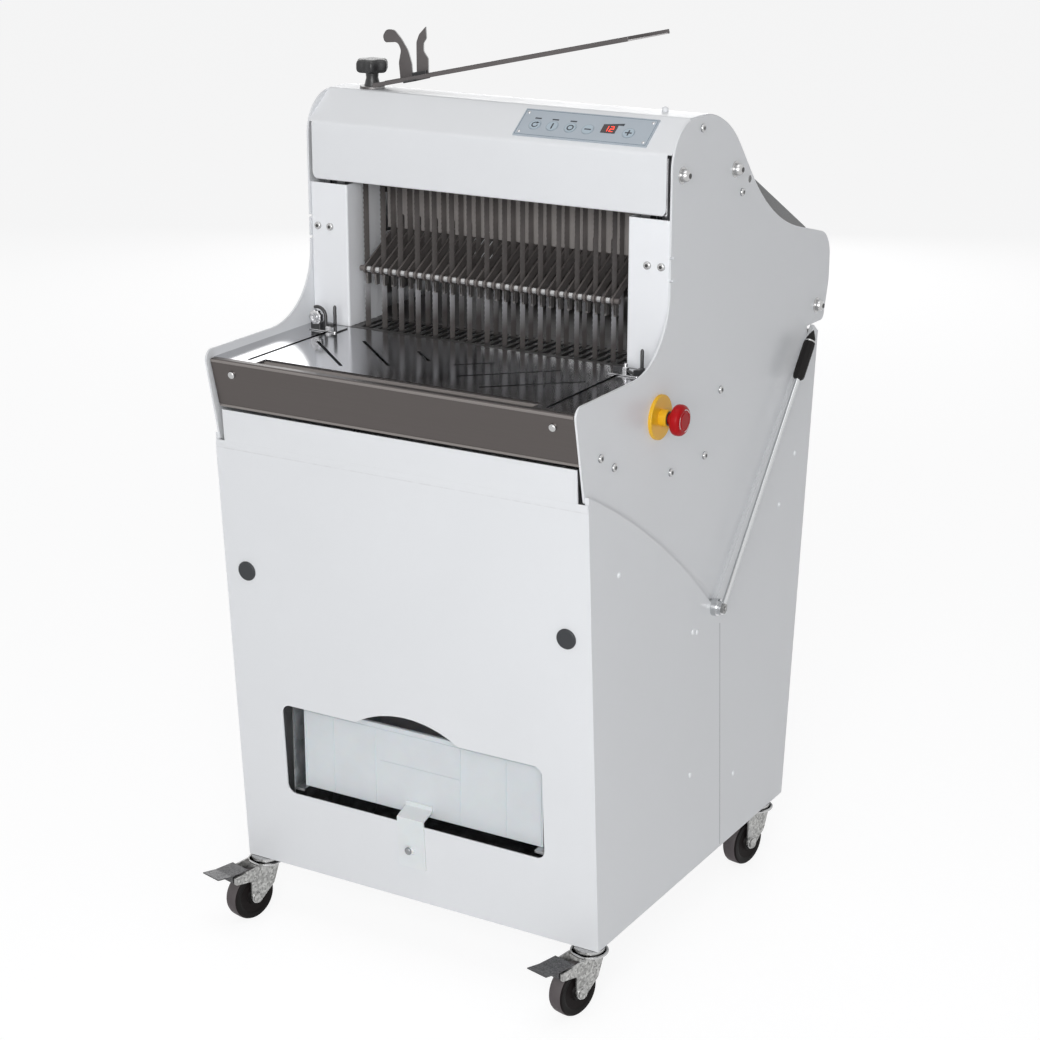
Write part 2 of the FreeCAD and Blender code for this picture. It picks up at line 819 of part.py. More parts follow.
def upper_comb():
    """Guard sheet behind the blades, with a round-topped slot for each hold-down finger."""
    back = guard_y + pillar_sheet
    half = blade_span + (blade_pitch - guard_slot) / 2
    sheet = box(-half, half, guard_y, back, guard_low, guard_high)
    yoke = box(-plate_inner, plate_inner, guard_y, back, guard_yoke, guard_high)
    slots = []
    for x in gap_centres():
        round_z = guard_slot_top - guard_slot / 2
        slots.append(box(x - guard_slot / 2, x + guard_slot / 2, guard_y - eps, back + eps,
                         guard_low - eps, round_z))
        slots.append(rod_y(guard_slot / 2, guard_y - eps, back + eps, x, round_z))
    return joined([sheet, yoke]).cut(slots)


# ---- hood and pillars ---------------------------------------------------

def top_hood():
    path = [(hood_front + hood_return, hood_low), (hood_front, hood_low, 3.0),
            (hood_front, hood_face_top, hood_bend), (slant_top_y, hood_top, hood_bend),
            (crown_end_y, hood_top, crown_radius), hood_end]
    shell = bent_sheet_x(path[::-1], hood_sheet, -plate_inner, plate_inner)
    narrow = plate_inner - hood_gap
    step = hood_face_top
    wide_top = hood_top + eps
    outline = [(-narrow, hood_low - eps, hood_corner), (narrow, hood_low - eps, hood_corner),
               (narrow, step), (plate_inner, step), (plate_inner, wide_top),
               (-plate_inner, wide_top), (-plate_inner, step), (-narrow, step)]
    front_zone = prism_y(outline, hood_front - eps, hood_front + hood_return + eps)
    back_zone = box(-plate_inner, plate_inner, hood_front + hood_return + eps,
                    hood_end[0] + eps, hood_low, wide_top)
    shell = shell.common(joined([front_zone, back_zone]))
    stud_hole = rod_z(bag_stud + bolt_gap, hood_face_top, wide_top, bag_x, bag_y)
    return shell.cut(stud_hole)


def pillar():
    back = pillar_front + pillar_return
    path = [(pillar_inner, back), (pillar_inner, pillar_front, 3.0),
            (plate_inner, pillar_front, 3.0), (plate_inner, pillar_front + pillar_flange)]
    return bent_sheet_z(path, pillar_sheet, table_z, pillar_top)


def cheek_wall():
    """Upright wall between the pillar and the guard, beside the outermost blade."""
    front = pillar_front + pillar_return + table_gap
    return box(pillar_inner, pillar_inner + pillar_sheet, front, cheek_back, table_z, guard_yoke)


# ---- blade frames -------------------------------------------------------

def blade_frame(plane, lug_x, lug_toward):
    """Reciprocating frame: two bars, two uprights, slider lugs and the rod pins."""
    half = frame_deep / 2
    y0, y1 = plane - half, plane + half
    pieces = [box(-frame_half, frame_half, y0, y1, *lower_bar),
              box(-frame_half, frame_half, y0, y1, *upper_bar)]
    for side in (-1, 1):
        x0, x1 = sorted((side * frame_inner, side * frame_half))
        pieces.append(box(x0, x1, y0, y1, lower_bar[1], upper_bar[0]))
        x0, x1 = sorted((side * frame_half, side * (guide_x + slider_out)))
        for low, high in slider_zones:
            pieces.append(box(x0, x1, plane - slider_deep / 2, plane + slider_deep / 2,
                              low, high))
        lug_reach = crank_y + lug_toward * (rod_pin + eps)
        ly0, ly1 = sorted((plane - lug_toward * half, lug_reach))
        edge = side * (lug_x - rod_thick / 2 - seat_gap)
        x0, x1 = sorted((edge, edge - side * lug_thick))
        pieces.append(box(x0, x1, ly0, ly1, lug_low, lower_bar[0]))
        pin_end = side * (lug_x + rod_thick / 2)
        x0, x1 = sorted((edge, pin_end))
        pieces.append(rod_x(rod_pin, x0, x1, crank_y, rod_pin_z))
    bores = [rod_z(guide_radius + run_fit, low - eps, high + eps, side * guide_x, plane)
             for side in (-1, 1) for low, high in slider_zones]
    return joined(pieces).cut(bores)


def blades(plane, first):
    half = blade_deep / 2
    return [box(x - blade_thick / 2, x + blade_thick / 2, plane - half, plane + half,
                lower_bar[1], upper_bar[0]) for x in blade_centres()[first::2]]


def guide_rods():
    """Vertical bars for both blade frames and the pusher's rails, welded to their clamps."""
    pieces = []
    clamp_inner = guide_x - guide_radius - clamp_wall
    front = front_plane - guide_radius - clamp_wall
    back = rear_plane + guide_radius + clamp_wall
    for low, high in (guide_foot, guide_head):
        pieces.append(box(clamp_inner, plate_inner, front, back, low, high))
    for plane in (front_plane, rear_plane):
        pieces.append(rod_z(guide_radius, guide_foot[1], guide_head[0], guide_x, plane))
    frames = joined(pieces)
    pieces = [rod_y(rail_radius, rail_span[0], rail_span[1], guide_x, rail_z)]
    for y in (rail_span[0], rail_span[1] - rail_clamp):
        pieces.append(box(clamp_inner, plate_inner, y, y + rail_clamp,
                          rail_z - block_half, rail_z + block_half))
    return pair(frames) + pair(joined(pieces))


# ---- crank drive --------------------------------------------------------

def cam(x, toward):
    return rod_x(cam_radius, x - cam_thick / 2, x + cam_thick / 2,
                 crank_y + toward * crank_throw, crank_z)


def grooved_pulley(pitch_radius, y, z):
    groove = pitch_radius - belt_thick / 2 - seat_gap
    flange = pitch_radius + belt_thick / 4
    half = pulley_width / 2
    groove_half = belt_width / 2 + seat_gap
    core = rod_x(groove, pulley_x - half, pulley_x + half, y, z)
    sides = [rod_x(flange, pulley_x - half, pulley_x - groove_half, y, z),
             rod_x(flange, pulley_x + groove_half, pulley_x + half, y, z)]
    return joined([core] + sides)


def crankshaft():
    end = plate_inner - eps
    pieces = [rod_x(crank_radius, -end, end, crank_y, crank_z),
              grooved_pulley(crank_pitch_radius, crank_y, crank_z)]
    for side in (-1, 1):
        pieces.append(cam(side * front_rod_x, 1))
        pieces.append(cam(side * rear_rod_x, -1))
    return joined(pieces)


def motor_pulley():
    shaft_end = motor_span[0] + motor_bore_deep - eps
    return joined([grooved_pulley(motor_pitch_radius, motor_y, motor_z),
                   rod_x(motor_shaft, pulley_x, shaft_end, motor_y, motor_z)])


def belt_loop(radius_change):
    """Outline of both pulleys and the straight runs between them, as one solid."""
    big = crank_pitch_radius + radius_change
    small = motor_pitch_radius + radius_change
    x0, x1 = pulley_x - belt_width / 2, pulley_x + belt_width / 2
    along = unit((crank_y, crank_z), (motor_y, motor_z))
    apart = math.hypot(motor_y - crank_y, motor_z - crank_z)
    lean = math.asin((big - small) / apart)
    corners = []
    for side in (1, -1):
        angle = math.atan2(along[1], along[0]) + side * (math.pi / 2 - lean)
        normal = (math.cos(angle), math.sin(angle))
        ends = [(crank_y + normal[0] * big, crank_z + normal[1] * big),
                (motor_y + normal[0] * small, motor_z + normal[1] * small)]
        corners += ends if side == 1 else ends[::-1]
    return joined([prism_x(corners, x0, x1), rod_x(big, x0, x1, crank_y, crank_z),
                   rod_x(small, x0, x1, motor_y, motor_z)])


def drive_belt():
    half = belt_thick / 2
    return belt_loop(half).cut(belt_loop(-half))


def connecting_rods(x):
    """One rod each side: a small eye on the frame's pin, a wide ring around the cam."""
    x0, x1 = x - rod_thick / 2, x + rod_thick / 2
    ring = rod_ring_inner + rod_ring_wall
    rod = joined([rod_x(rod_eye, x0, x1, crank_y, rod_pin_z),
                  box(x0, x1, crank_y - rod_bar / 2, crank_y + rod_bar / 2,
                      crank_z + rod_ring_inner + eps, rod_pin_z),
                  rod_x(ring, x0, x1, crank_y, crank_z)])
    rod = rod.cut([rod_x(rod_ring_inner, x0 - eps, x1 + eps, crank_y, crank_z),
                   rod_x(rod_pin + run_fit, x0 - eps, x1 + eps, crank_y, rod_pin_z)])
    return pair(rod)


def bearings():
    block = box(plate_inner - bearing_width, plate_inner, crank_y - bearing_block,
                crank_y + bearing_block, crank_z - bearing_block, crank_z + bearing_block)
    block = block.cut(rod_x(crank_radius + run_fit, plate_inner - bearing_width - eps,
                            plate_inner + eps, crank_y, crank_z))
    bush = rod_x(bush_radius, plate_inner - bush_width, plate_inner, lever_y, lever_z)
    bush = bush.cut(rod_x(axle_radius + run_fit, plate_inner - bush_width - eps,
                          plate_inner + eps, lever_y, lever_z))
    hold = rod_x(hold_bush, plate_inner - hold_bush_width, plate_inner, *hold_pivot)
    hold = hold.cut(rod_x(hold_shaft + run_fit, plate_inner - hold_bush_width - eps,
                          plate_inner + eps, *hold_pivot))
    return pair(block) + pair(bush) + pair(hold)


def motor():
    x0, x1 = motor_span
    body = rod_x(motor_radius, x0, x1, motor_y, motor_z)
    foot = box(x0 + bearing_width, x1 - bearing_width, motor_y - motor_foot_half,
               motor_y + motor_foot_half, floor_top, motor_z - motor_foot_rise)
    bore = rod_x(motor_shaft + run_fit, x0 - eps, x0 + motor_bore_deep, motor_y, motor_z)
    return joined([body, foot]).cut(bore)


# ---- feed lever and pusher ----------------------------------------------

def tilt_lever(shape):
    """Lean a shape drawn straight up from the lever's axis towards the back."""
    turned = shape.copy()
    turned.rotate(Vector(0, lever_y, lever_z), Vector(1, 0, 0), -lever_lean)
    return turned


def feed_lever():
    pieces = [rod_x(axle_radius, -plate_inner + eps, lever_bar_x, lever_y, lever_z),
              rod_x(boss_radius, base_half + seat_gap, base_half + seat_gap + boss_thick,
                    lever_y, lever_z)]
    tip = lever_z + arm_length
    for side in (-1, 1):
        x0 = side * arm_x - arm_thick / 2
        x1 = x0 + arm_thick
        arm = joined([rod_x(bush_radius, x0, x1, lever_y, lever_z),
                      box(x0, x1, lever_y - arm_width / 2, lever_y + arm_width / 2,
                          lever_z, tip),
                      rod_x(arm_width / 2, x0, x1, lever_y, tip)])
        pieces.append(tilt_lever(arm))
    bar = rod_z(lever_bar_radius, lever_z, lever_z + grip_start, lever_bar_x - eps, lever_y)
    pieces.append(tilt_lever(bar))
    return joined(pieces)


def lever_grip():
    low = lever_z + grip_start
    grip = rod_z(grip_radius, low, low + grip_length, lever_bar_x - eps, lever_y)
    grip = grip.makeFillet(grip_round, [grip.Edges[0], grip.Edges[2]])
    return tilt_lever(grip)


def pusher():
    out = guide_x + slider_out
    bar_low, bar_high = pusher_bar_z
    pieces = [box(-out, out, pusher_bar[0], pusher_bar[1], bar_low, bar_high)]
    for side in (-1, 1):
        x0, x1 = sorted((side * (guide_x - block_half), side * out))
        pieces.append(box(x0, x1, block_span[0], block_span[1], rail_z - block_half,
                          rail_z + block_half))
        pieces.append(box(x0, x1, pusher_bar[0], pusher_bar[1], rail_z + block_half, bar_low))
    half, low, high = pusher_face
    face_front = pusher_bar[0] - pusher_sheet
    pieces.append(box(-half, half, face_front, pusher_bar[0], low, high))
    for x in gap_centres():
        pieces.append(box(x - tine_width / 2, x + tine_width / 2, face_front - tine_length,
                          face_front, bar_low, bar_low + tine_height))
    bores = [rod_y(rail_radius + run_fit, block_span[0] - eps, block_span[1] + eps,
                   side * guide_x, rail_z) for side in (-1, 1)]
    return joined(pieces).cut(bores)


# ---- hold-down ----------------------------------------------------------

def hold_finger(x):
    """One finger from the shaft to the front rod, with a tip that hangs below the rod."""
    x0, x1 = x - finger_thick / 2, x + finger_thick / 2
    along = unit(hold_pivot, hold_rod)
    side = (-along[1] * finger_height / 2, along[0] * finger_height / 2)
    bar = [(hold_pivot[0] + side[0], hold_pivot[1] + side[1]),
           (hold_rod[0] + side[0], hold_rod[1] + side[1]),
           (hold_rod[0] - side[0], hold_rod[1] - side[1]),
           (hold_pivot[0] - side[0], hold_pivot[1] - side[1])]
    front, back = hold_rod[0] + tip_span[0], hold_rod[0] + tip_span[1]
    corner = (back - front) / 3
    low = hold_rod[1] - finger_tip
    tip = [(front, low, corner), (back, low, corner), (back, hold_rod[1]), (front, hold_rod[1])]
    finger = joined([prism_x(bar, x0, x1), prism_x(tip, x0, x1),
                     rod_x(finger_hub, x0, x1, *hold_pivot), rod_x(finger_eye, x0, x1, *hold_rod)])
    return finger.cut([rod_x(hold_shaft + run_fit, x0 - eps, x1 + eps, *hold_pivot),
                       rod_x(hold_rod_radius + run_fit, x0 - eps, x1 + eps, *hold_rod)])


def hold_down():
    end = plate_inner - eps
    return [rod_x(hold_shaft, -end, end, *hold_pivot),
            rod_x(hold_rod_radius, -hold_rod_half, hold_rod_half, *hold_rod)] + [
                hold_finger(x) for x in gap_centres()]


# ---- loaf stops ---------------------------------------------------------

def loaf_stop(side, pin_x, knob_x):
    """Shoe with a stem through the side slot, a foot below, an upright pin and a knob."""
    low = table_z + seat_gap
    shoe_top = low + stop_high
    front, back = stop_y - stop_long / 2, stop_y + stop_long / 2
    below = table_z - table_sheet - seat_gap
    stem_half = stop_stem / 2
    pieces = [box(stop_inner, stop_outer, front, back, low, shoe_top),
              box(side_slot_x - stem_half, side_slot_x + stem_half, stop_y - stop_stem_long / 2,
                  stop_y + stop_stem_long / 2, below, low),
              rod_z(stop_foot, below - stop_stem, below, side_slot_x, stop_y),
              rod_z(stop_pin, shoe_top, shoe_top + stop_pin_high, pin_x, stop_y),
              rod_y(stop_knob, front, front + stop_knob_thick, knob_x, shoe_top + stop_knob_rise)]
    room = box(stop_inner, stop_outer, front, back, low, shoe_top + stop_pin_high)
    shoe = joined(pieces[:1] + pieces[3:]).common(room)
    stop = joined([shoe] + pieces[1:3])
    return stop if side > 0 else mirrored(stop)


# ---- switch gear --------------------------------------------------------

def estop_collar():
    disc = Part.makeCylinder(collar_radius, collar_high, Vector(plate_outer, estop_y, estop_z),
                             Vector(1, 0, 0))
    disc = disc.makeFillet(collar_high / 4, [disc.Edges[0]])
    hub = rod_x(hub_radius, plate_outer, plate_outer + hub_high, estop_y, estop_z)
    barrel = rod_x(barrel_radius, plate_outer - barrel_deep, plate_outer, estop_y, estop_z)
    bore = rod_x(stem_radius + seat_gap, plate_outer - barrel_deep / 2,
                 plate_outer + hub_high + eps, estop_y, estop_z)
    return joined([disc, hub, barrel]).cut(bore)


def estop_button():
    head_x = plate_outer + head_proud
    stem_piece = rod_x(stem_radius, plate_outer, head_x, estop_y, estop_z)
    head = Part.makeCylinder(head_radius, head_high, Vector(head_x, estop_y, estop_z),
                             Vector(1, 0, 0))
    head = head.makeFillet(head_round, [head.Edges[0]])
    return joined([stem_piece, head])


def control_panel():
    half = panel_tall / 2
    plate = box(panel_left, panel_right, -half, half, 0, panel_thick)
    holes = [rod_z(key_radius + seat_gap, -eps, panel_thick + eps, panel_left + place, key_v)
             for place in key_places]
    display = box(panel_left + display_span[0], panel_left + display_span[1],
                  -display_tall / 2, display_tall / 2, panel_thick, panel_thick + display_thick)
    return [on_slant(plate.cut(holes)), on_slant(display)]


def panel_key(place):
    return on_slant(rod_z(key_radius, key_lift, key_lift + key_thick, panel_left + place, key_v))


# ---- crumb drawer -------------------------------------------------------

def crumb_drawer():
    y0, y1 = drawer_y
    z0, z1 = drawer_z
    tray = box(-drawer_half, drawer_half, y0, y1, z0, z1)
    inside = box(-drawer_half + drawer_wall, drawer_half - drawer_wall, y0 + drawer_wall,
                 y1 - drawer_wall, z0 + drawer_wall, z1 + eps)
    return tray.cut(inside)


def drawer_tab():
    """Bent hook on the drawer that hangs over the lower edge of the window."""
    low, high = tab_z
    bend_z = window_z[0] + tab_rise
    path = [(front_y(low) - seat_gap, low), (front_y(bend_z) - seat_gap, bend_z),
            (drawer_y[0], bend_z + tab_rise), (drawer_y[0], high)]
    tab = bent_sheet_x(path, tab_sheet, *tab_span)
    middle = (tab_span[0] + tab_span[1]) / 2
    back_y = front_y(tab_screw_z) - seat_gap
    screw = front_bolt(middle, back_y - tab_sheet, tab_screw_z)
    return [tab, leaned(screw, back_y, tab_screw_z)]


def drawer_housing():
    """Side walls, drawer ledges and the chute that leads crumbs into the drawer."""
    front = front_low_y + base_sheet + housing_inset
    back = drawer_y[1]
    wall = [(front, floor_top), (front, housing_top_front), chute_top,
            (chute_top[0], chute_top[1] - ledge_width * 2), (chute_knee[0] + ledge_width,
             chute_knee[1] - ledge_width), (chute_knee[0] + ledge_width, chute_low),
            (back, chute_low), (back, floor_top)]
    chute = bent_sheet_x([(chute_knee[0], chute_low), chute_knee, chute_top], -housing_sheet,
                         -housing_wall_x, housing_wall_x)
    pieces = [chute]
    for side in (-1, 1):
        x0, x1 = sorted((side * housing_wall_x, side * (housing_wall_x + housing_sheet)))
        pieces.append(prism_x(wall, x0, x1))
        x0, x1 = sorted((side * housing_wall_x, side * (housing_wall_x - ledge_width)))
        ledge_top = drawer_z[0] - seat_gap
        pieces.append(box(x0, x1, front, back, ledge_top - ledge_thick, ledge_top))
    return joined(pieces)


def plugs():
    """Dished plastic caps pressed into the two service holes of the front panel."""
    y = front_y(plug_z)
    cap = Part.makeCylinder(plug_radius, plug_rise, Vector(plug_x, y, plug_z), Vector(0, -1, 0))
    cap = cap.makeFillet(plug_rise * dome_round, [cap.Edges[0]])
    plug = joined([cap, rod_y(plug_stem, y, y + base_sheet * 3, plug_x, plug_z)])
    return pair(leaned(plug, y, plug_z))


# ---- control box and gland ----------------------------------------------

def control_box():
    (x0, x1), (y0, y1) = box_span
    return box(x0, x1, y0, y1, floor_top, floor_top + box_high)


def cable_gland():
    hexagon = [(gland_hex * math.cos(math.radians(60 * i)),
                gland_hex * math.sin(math.radians(60 * i))) for i in range(6)]
    nut = prism_z(hexagon, 0, gland_flange)
    body = joined([nut, rod_z(gland_radius, -gland_in, gland_out, 0, 0)])
    bore = rod_z(gland_bore, -gland_in - eps, gland_out + eps, 0, 0)
    return on_rear_panel(body.cut(bore))


# ---- rear cover ---------------------------------------------------------

def rear_cover():
    """Smoked cover on two hinge pins, with a turned-down flange on each side."""
    y, z = cover_hinge
    end = y + cover_long
    top = z + cover_rise + cover_sheet
    sheet = box(-cover_half, cover_half, y, end, top - cover_sheet, top)
    barrel = rod_x(cover_rise + eps, -cover_half, cover_half, y, z)
    pins = rod_x(cover_pin, -plate_outer, plate_outer, y, z)
    flanges = []
    for side in (-1, 1):
        x0, x1 = sorted((side * cover_half, side * (cover_half - cover_sheet)))
        profile = [(y, top), (end, top), (end, z - cover_flange / 2, cover_corner),
                   (end - cover_flange, z - cover_flange, cover_corner),
                   (y + cover_flange, z - cover_flange, cover_corner), (y, z)]
        flanges.append(prism_x(profile, x0, x1))
    cover = joined([sheet, barrel, pins] + flanges)
    cover.rotate(Vector(0, y, z), Vector(1, 0, 0), -cover_drop)
    return cover


# ---- bagging blade ------------------------------------------------------

def tilt_bag(shape):
    """Lean a shape drawn along +X from the blade's stud upwards."""
    turned = shape.copy()
    turned.rotate(Vector(0, 0, 0), Vector(0, 1, 0), -bag_slope)
    turned.translate(Vector(bag_x, bag_y, hood_top + seat_gap))
    return turned


def bag_blade():
    half = bag_width / 2
    tip = [(bag_start, -half), (bag_long - bag_bevel, -half), (bag_long, half), (bag_start, half)]
    floor = prism_z(tip, 0, bag_sheet)
    front_rim = box(bag_start, bag_long - bag_bevel, -half, -half + bag_sheet, 0, bag_rim)
    back_rim = box(bag_start, bag_long, half - bag_sheet, half, 0, bag_rim)
    pieces = [tilt_bag(joined([floor, front_rim, back_rim]))]
    for foot, outline in ((hook_foot, hook_outline), (prong_foot, prong_outline)):
        finger = prism_y(outline, half - finger_sheet, half)
        lift = foot * math.tan(math.radians(bag_slope)) + bag_sheet
        finger.translate(Vector(bag_x + foot, bag_y, hood_top + seat_gap + lift))
        pieces.append(finger)
    pad = rod_z(bag_pad, hood_top + seat_gap, hood_top + seat_gap + bag_sheet * 2, bag_x, bag_y)
    hole = rod_z(bag_stud + bolt_gap, hood_top, hood_top + bag_pad, bag_x, bag_y)
    return joined(pieces + [pad]).cut(hole)


def blade_knob():
    low = hood_top + seat_gap + bag_sheet * 2 + seat_gap
    neck_top = low + knob_neck_high
    head = rod_z(knob_radius, neck_top, neck_top + knob_high, bag_x, bag_y)
    scoops = []
    for i in range(knob_lobes):
        angle = 2 * math.pi * i / knob_lobes
        reach = knob_radius + knob_scoop_out
        scoops.append(rod_z(knob_scoop, neck_top - eps, neck_top + knob_high + eps,
                            bag_x + reach * math.cos(angle), bag_y + reach * math.sin(angle)))
    neck = rod_z(knob_neck, low, neck_top, bag_x, bag_y)
    stud = rod_z(bag_stud, hood_top - bag_pad, low, bag_x, bag_y)
    return joined([head.cut(scoops), neck, stud])


# ---- casters ------------------------------------------------------------

def caster_places():
    return [(side * caster_x, y) for y in (caster_front_y, caster_rear_y) for side in (-1, 1)]


def place_caster(shape, x, y, yaw):
    """Turn a shape drawn with its trail along +X and stand it at its swivel axis."""
    turned = shape.copy()
    turned.rotate(Vector(0, 0, 0), Vector(0, 0, 1), yaw)
    turned.translate(Vector(x, y, 0))
    return turned


def caster_fork(with_brake):
    disc = rod_z(fork_disc, fork_top - fork_disc_thick, fork_top, 0, 0)
    under = fork_top - fork_disc_thick
    bridge = box(-leg_back, fork_disc, -leg_gap / 2, leg_gap / 2, under, fork_top)
    tip = trail + leg_front
    outline = [(-leg_back, under), (0, leg_waist, leg_bend),
               (trail - leg_corner, wheel_radius - leg_foot, leg_bend),
               (tip, wheel_radius - leg_corner, leg_bend)]
    if with_brake:
        reach = pedal_pin[0] + pedal_cheek
        outline += [(tip, leg_brow, leg_corner), (reach, leg_brow + leg_corner, leg_corner),
                    (reach, under, leg_corner / 2)]
    else:
        outline += [(tip, under - leg_corner, leg_corner)]
    outline.append((fork_disc, fork_top))
    outline.append((-leg_back, fork_top))
    legs = []
    for side in (-1, 1):
        y0, y1 = sorted((side * leg_gap / 2, side * (leg_gap / 2 + leg_sheet)))
        legs.append(prism_y(outline, y0, y1))
    body = joined([disc, bridge] + legs)
    wide = leg_gap / 2 + leg_sheet + eps
    cuts = [rod_z(stem + run_fit, under - eps, fork_top + eps, 0, 0),
            rod_y(wheel_axle + bolt_gap, -wide, wide, trail, wheel_radius)]
    outer = leg_gap / 2 + leg_sheet
    nut_end = outer + axle_nut_high
    axle = joined([rod_y(wheel_axle, -outer, outer, trail, wheel_radius),
                   rod_y(axle_nut, -nut_end, -outer, trail, wheel_radius),
                   rod_y(axle_nut, outer, nut_end, trail, wheel_radius)])
    solids = [body.cut(cuts), axle]
    if with_brake:
        solids[0] = joined([solids[0], rod_y(pedal_pin_radius, -leg_gap / 2, leg_gap / 2,
                                             *pedal_pin)])
    return solids


def caster_wheel():
    half = wheel_width / 2
    hub = hub_width / 2
    web = wheel_web / 2
    bore = wheel_axle + run_fit
    profile = [(bore, -hub), (hub_radius, -hub), (hub_radius, -web), (rim_radius, -web),
               (rim_radius, -half), (wheel_radius, -half, tyre_round),
               (wheel_radius, half, tyre_round), (rim_radius, half), (rim_radius, web),
               (hub_radius, web), (hub_radius, hub), (bore, hub)]
    edges = rounded_edges(with_radius(profile), lambda r, w: Vector(r, w, 0), True)
    face = Part.Face(Part.Wire(Part.__sortEdges__(edges)))
    wheel = face.revolve(Vector(0, 0, 0), Vector(0, 1, 0), 360)
    wheel.translate(Vector(trail, 0, wheel_radius))
    return wheel


def brake_pedal():
    plate = bent_sheet(list(pedal_plate), pedal_sheet, lambda u, v: Vector(u, 0, v),
                       Vector(0, -pedal_half, 0), Vector(0, 2 * pedal_half, 0))
    t0, t1, low = pedal_tongue
    tongue = box(t0, t1, -pedal_tongue_half, pedal_tongue_half, low, pedal_plate[0][1])
    bore = rod_y(pedal_pin_radius + run_fit, -leg_gap, leg_gap, *pedal_pin)
    return joined([plate, tongue]).cut(bore)


def main():
    os.makedirs("parts", exist_ok=True)
    nodes = {
        "base_side_right": [base_side()],
        "base_side_left": [mirrored(base_side())],
        "front_panel": [front_panel()],
        "rear_panel": [rear_panel()],
        "floor_pan": [floor_pan()],
        "side_plate_right": [side_plate(True)],
        "side_plate_left": [mirrored(side_plate(False))],
        "top_hood": [top_hood()],
        "pillars": pair(pillar()) + pair(cheek_wall()),
        "outfeed_table": [outfeed_table()],
        "front_lip": [front_lip()],
        "infeed_table": [infeed_table()],
        "infeed_guides": infeed_guides(),
        "upper_comb": [upper_comb()],
        "guide_rods": guide_rods(),
        "bearings": bearings(),
        "motor": [motor()],
        "drawer_housing": [drawer_housing()],
        "control_panel": control_panel(),
        "estop_collar": [estop_collar()],
        "front_plugs": plugs(),
        "fasteners": fasteners(),
        "drive_belt": [drive_belt()],
        "control_box": [control_box()],
        "cable_gland": [cable_gland()],
        "front_frame": [blade_frame(front_plane, front_rod_x, 1)],
        "front_blades": blades(front_plane, 0),
        "rear_frame": [blade_frame(rear_plane, rear_rod_x, -1)],
        "rear_blades": blades(rear_plane, 1),
        "front_rods": connecting_rods(front_rod_x),
        "rear_rods": connecting_rods(rear_rod_x),
        "crankshaft": [crankshaft()],
        "motor_pulley": [motor_pulley()],
        "feed_lever": [feed_lever()],
        "lever_grip": [lever_grip()],
        "pusher": [pusher()],
        "hold_down": hold_down(),
        "loaf_stop_left": [loaf_stop(-1, stop_pin_x[0], stop_knob_x[0])],
        "loaf_stop_right": [loaf_stop(1, stop_pin_x[1], stop_knob_x[1])],
        "estop_button": [estop_button()],
        "crumb_drawer": [crumb_drawer()],
        "drawer_tab": drawer_tab(),
        "bag_blade": [bag_blade()],
        "blade_knob": [blade_knob()],
        "rear_cover": [rear_cover()],
    }
    keys = ("start_key", "jog_key", "stop_key", "minus_key", "plus_key")
    for name, place in zip(keys, key_places):
        nodes[name] = [panel_key(place)]
    names = ("front_left", "front_right", "rear_left", "rear_right")
    for name, (x, y) in zip(names, caster_places()):
        front = y == caster_front_y
        yaw = front_yaw if front else rear_yaw
        nodes["fork_" + name] = [place_caster(s, x, y, yaw) for s in caster_fork(front)]
        nodes["wheel_" + name] = [place_caster(caster_wheel(), x, y, yaw)]
        if front:
            nodes["pedal_" + name] = [place_caster(brake_pedal(), x, y, yaw)]
    for name, solids in nodes.items():
        save(name, solids)


main()
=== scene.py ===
import json
import math
import bpy
import bmesh
from mathutils import Matrix, Vector


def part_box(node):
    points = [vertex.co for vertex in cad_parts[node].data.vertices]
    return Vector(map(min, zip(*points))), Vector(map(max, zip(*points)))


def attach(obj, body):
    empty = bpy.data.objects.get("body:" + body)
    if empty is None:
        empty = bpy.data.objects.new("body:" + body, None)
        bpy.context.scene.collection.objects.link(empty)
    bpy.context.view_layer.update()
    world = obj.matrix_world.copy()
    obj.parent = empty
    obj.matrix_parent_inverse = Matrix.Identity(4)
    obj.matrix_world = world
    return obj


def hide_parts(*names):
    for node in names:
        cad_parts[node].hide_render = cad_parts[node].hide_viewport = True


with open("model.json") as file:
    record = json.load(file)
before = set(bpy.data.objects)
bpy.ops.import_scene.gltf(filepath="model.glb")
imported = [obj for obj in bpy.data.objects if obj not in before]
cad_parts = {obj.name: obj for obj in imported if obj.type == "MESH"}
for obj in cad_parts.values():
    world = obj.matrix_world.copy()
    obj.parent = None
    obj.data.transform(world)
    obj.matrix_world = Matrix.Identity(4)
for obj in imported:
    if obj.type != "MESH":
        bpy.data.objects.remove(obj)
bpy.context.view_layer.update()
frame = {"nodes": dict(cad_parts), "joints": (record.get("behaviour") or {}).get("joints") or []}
nodes = frame["nodes"]
mm = 0.001
print("frame loaded:", len(nodes), "nodes")


# shader nodes that the studio and the finishes both need

def mathNode(tree, operation, *values, clamp=False):
    node = tree.nodes.new("ShaderNodeMath")
    node.operation = operation
    node.use_clamp = clamp
    for socket, value in zip(node.inputs, values):
        if isinstance(value, (int, float)):
            socket.default_value = value
        else:
            tree.links.new(value, socket)
    return node.outputs[0]


def mixColours(tree, factor, first, second):
    mix = tree.nodes.new("ShaderNodeMix")
    mix.data_type = "RGBA"
    tree.links.new(factor, mix.inputs[0])
    for socket, value in ((mix.inputs[6], first), (mix.inputs[7], second)):
        if isinstance(value, tuple):
            socket.default_value = (*value, 1)
        else:
            tree.links.new(value, socket)
    return mix.outputs[2]


# camera, light and floor

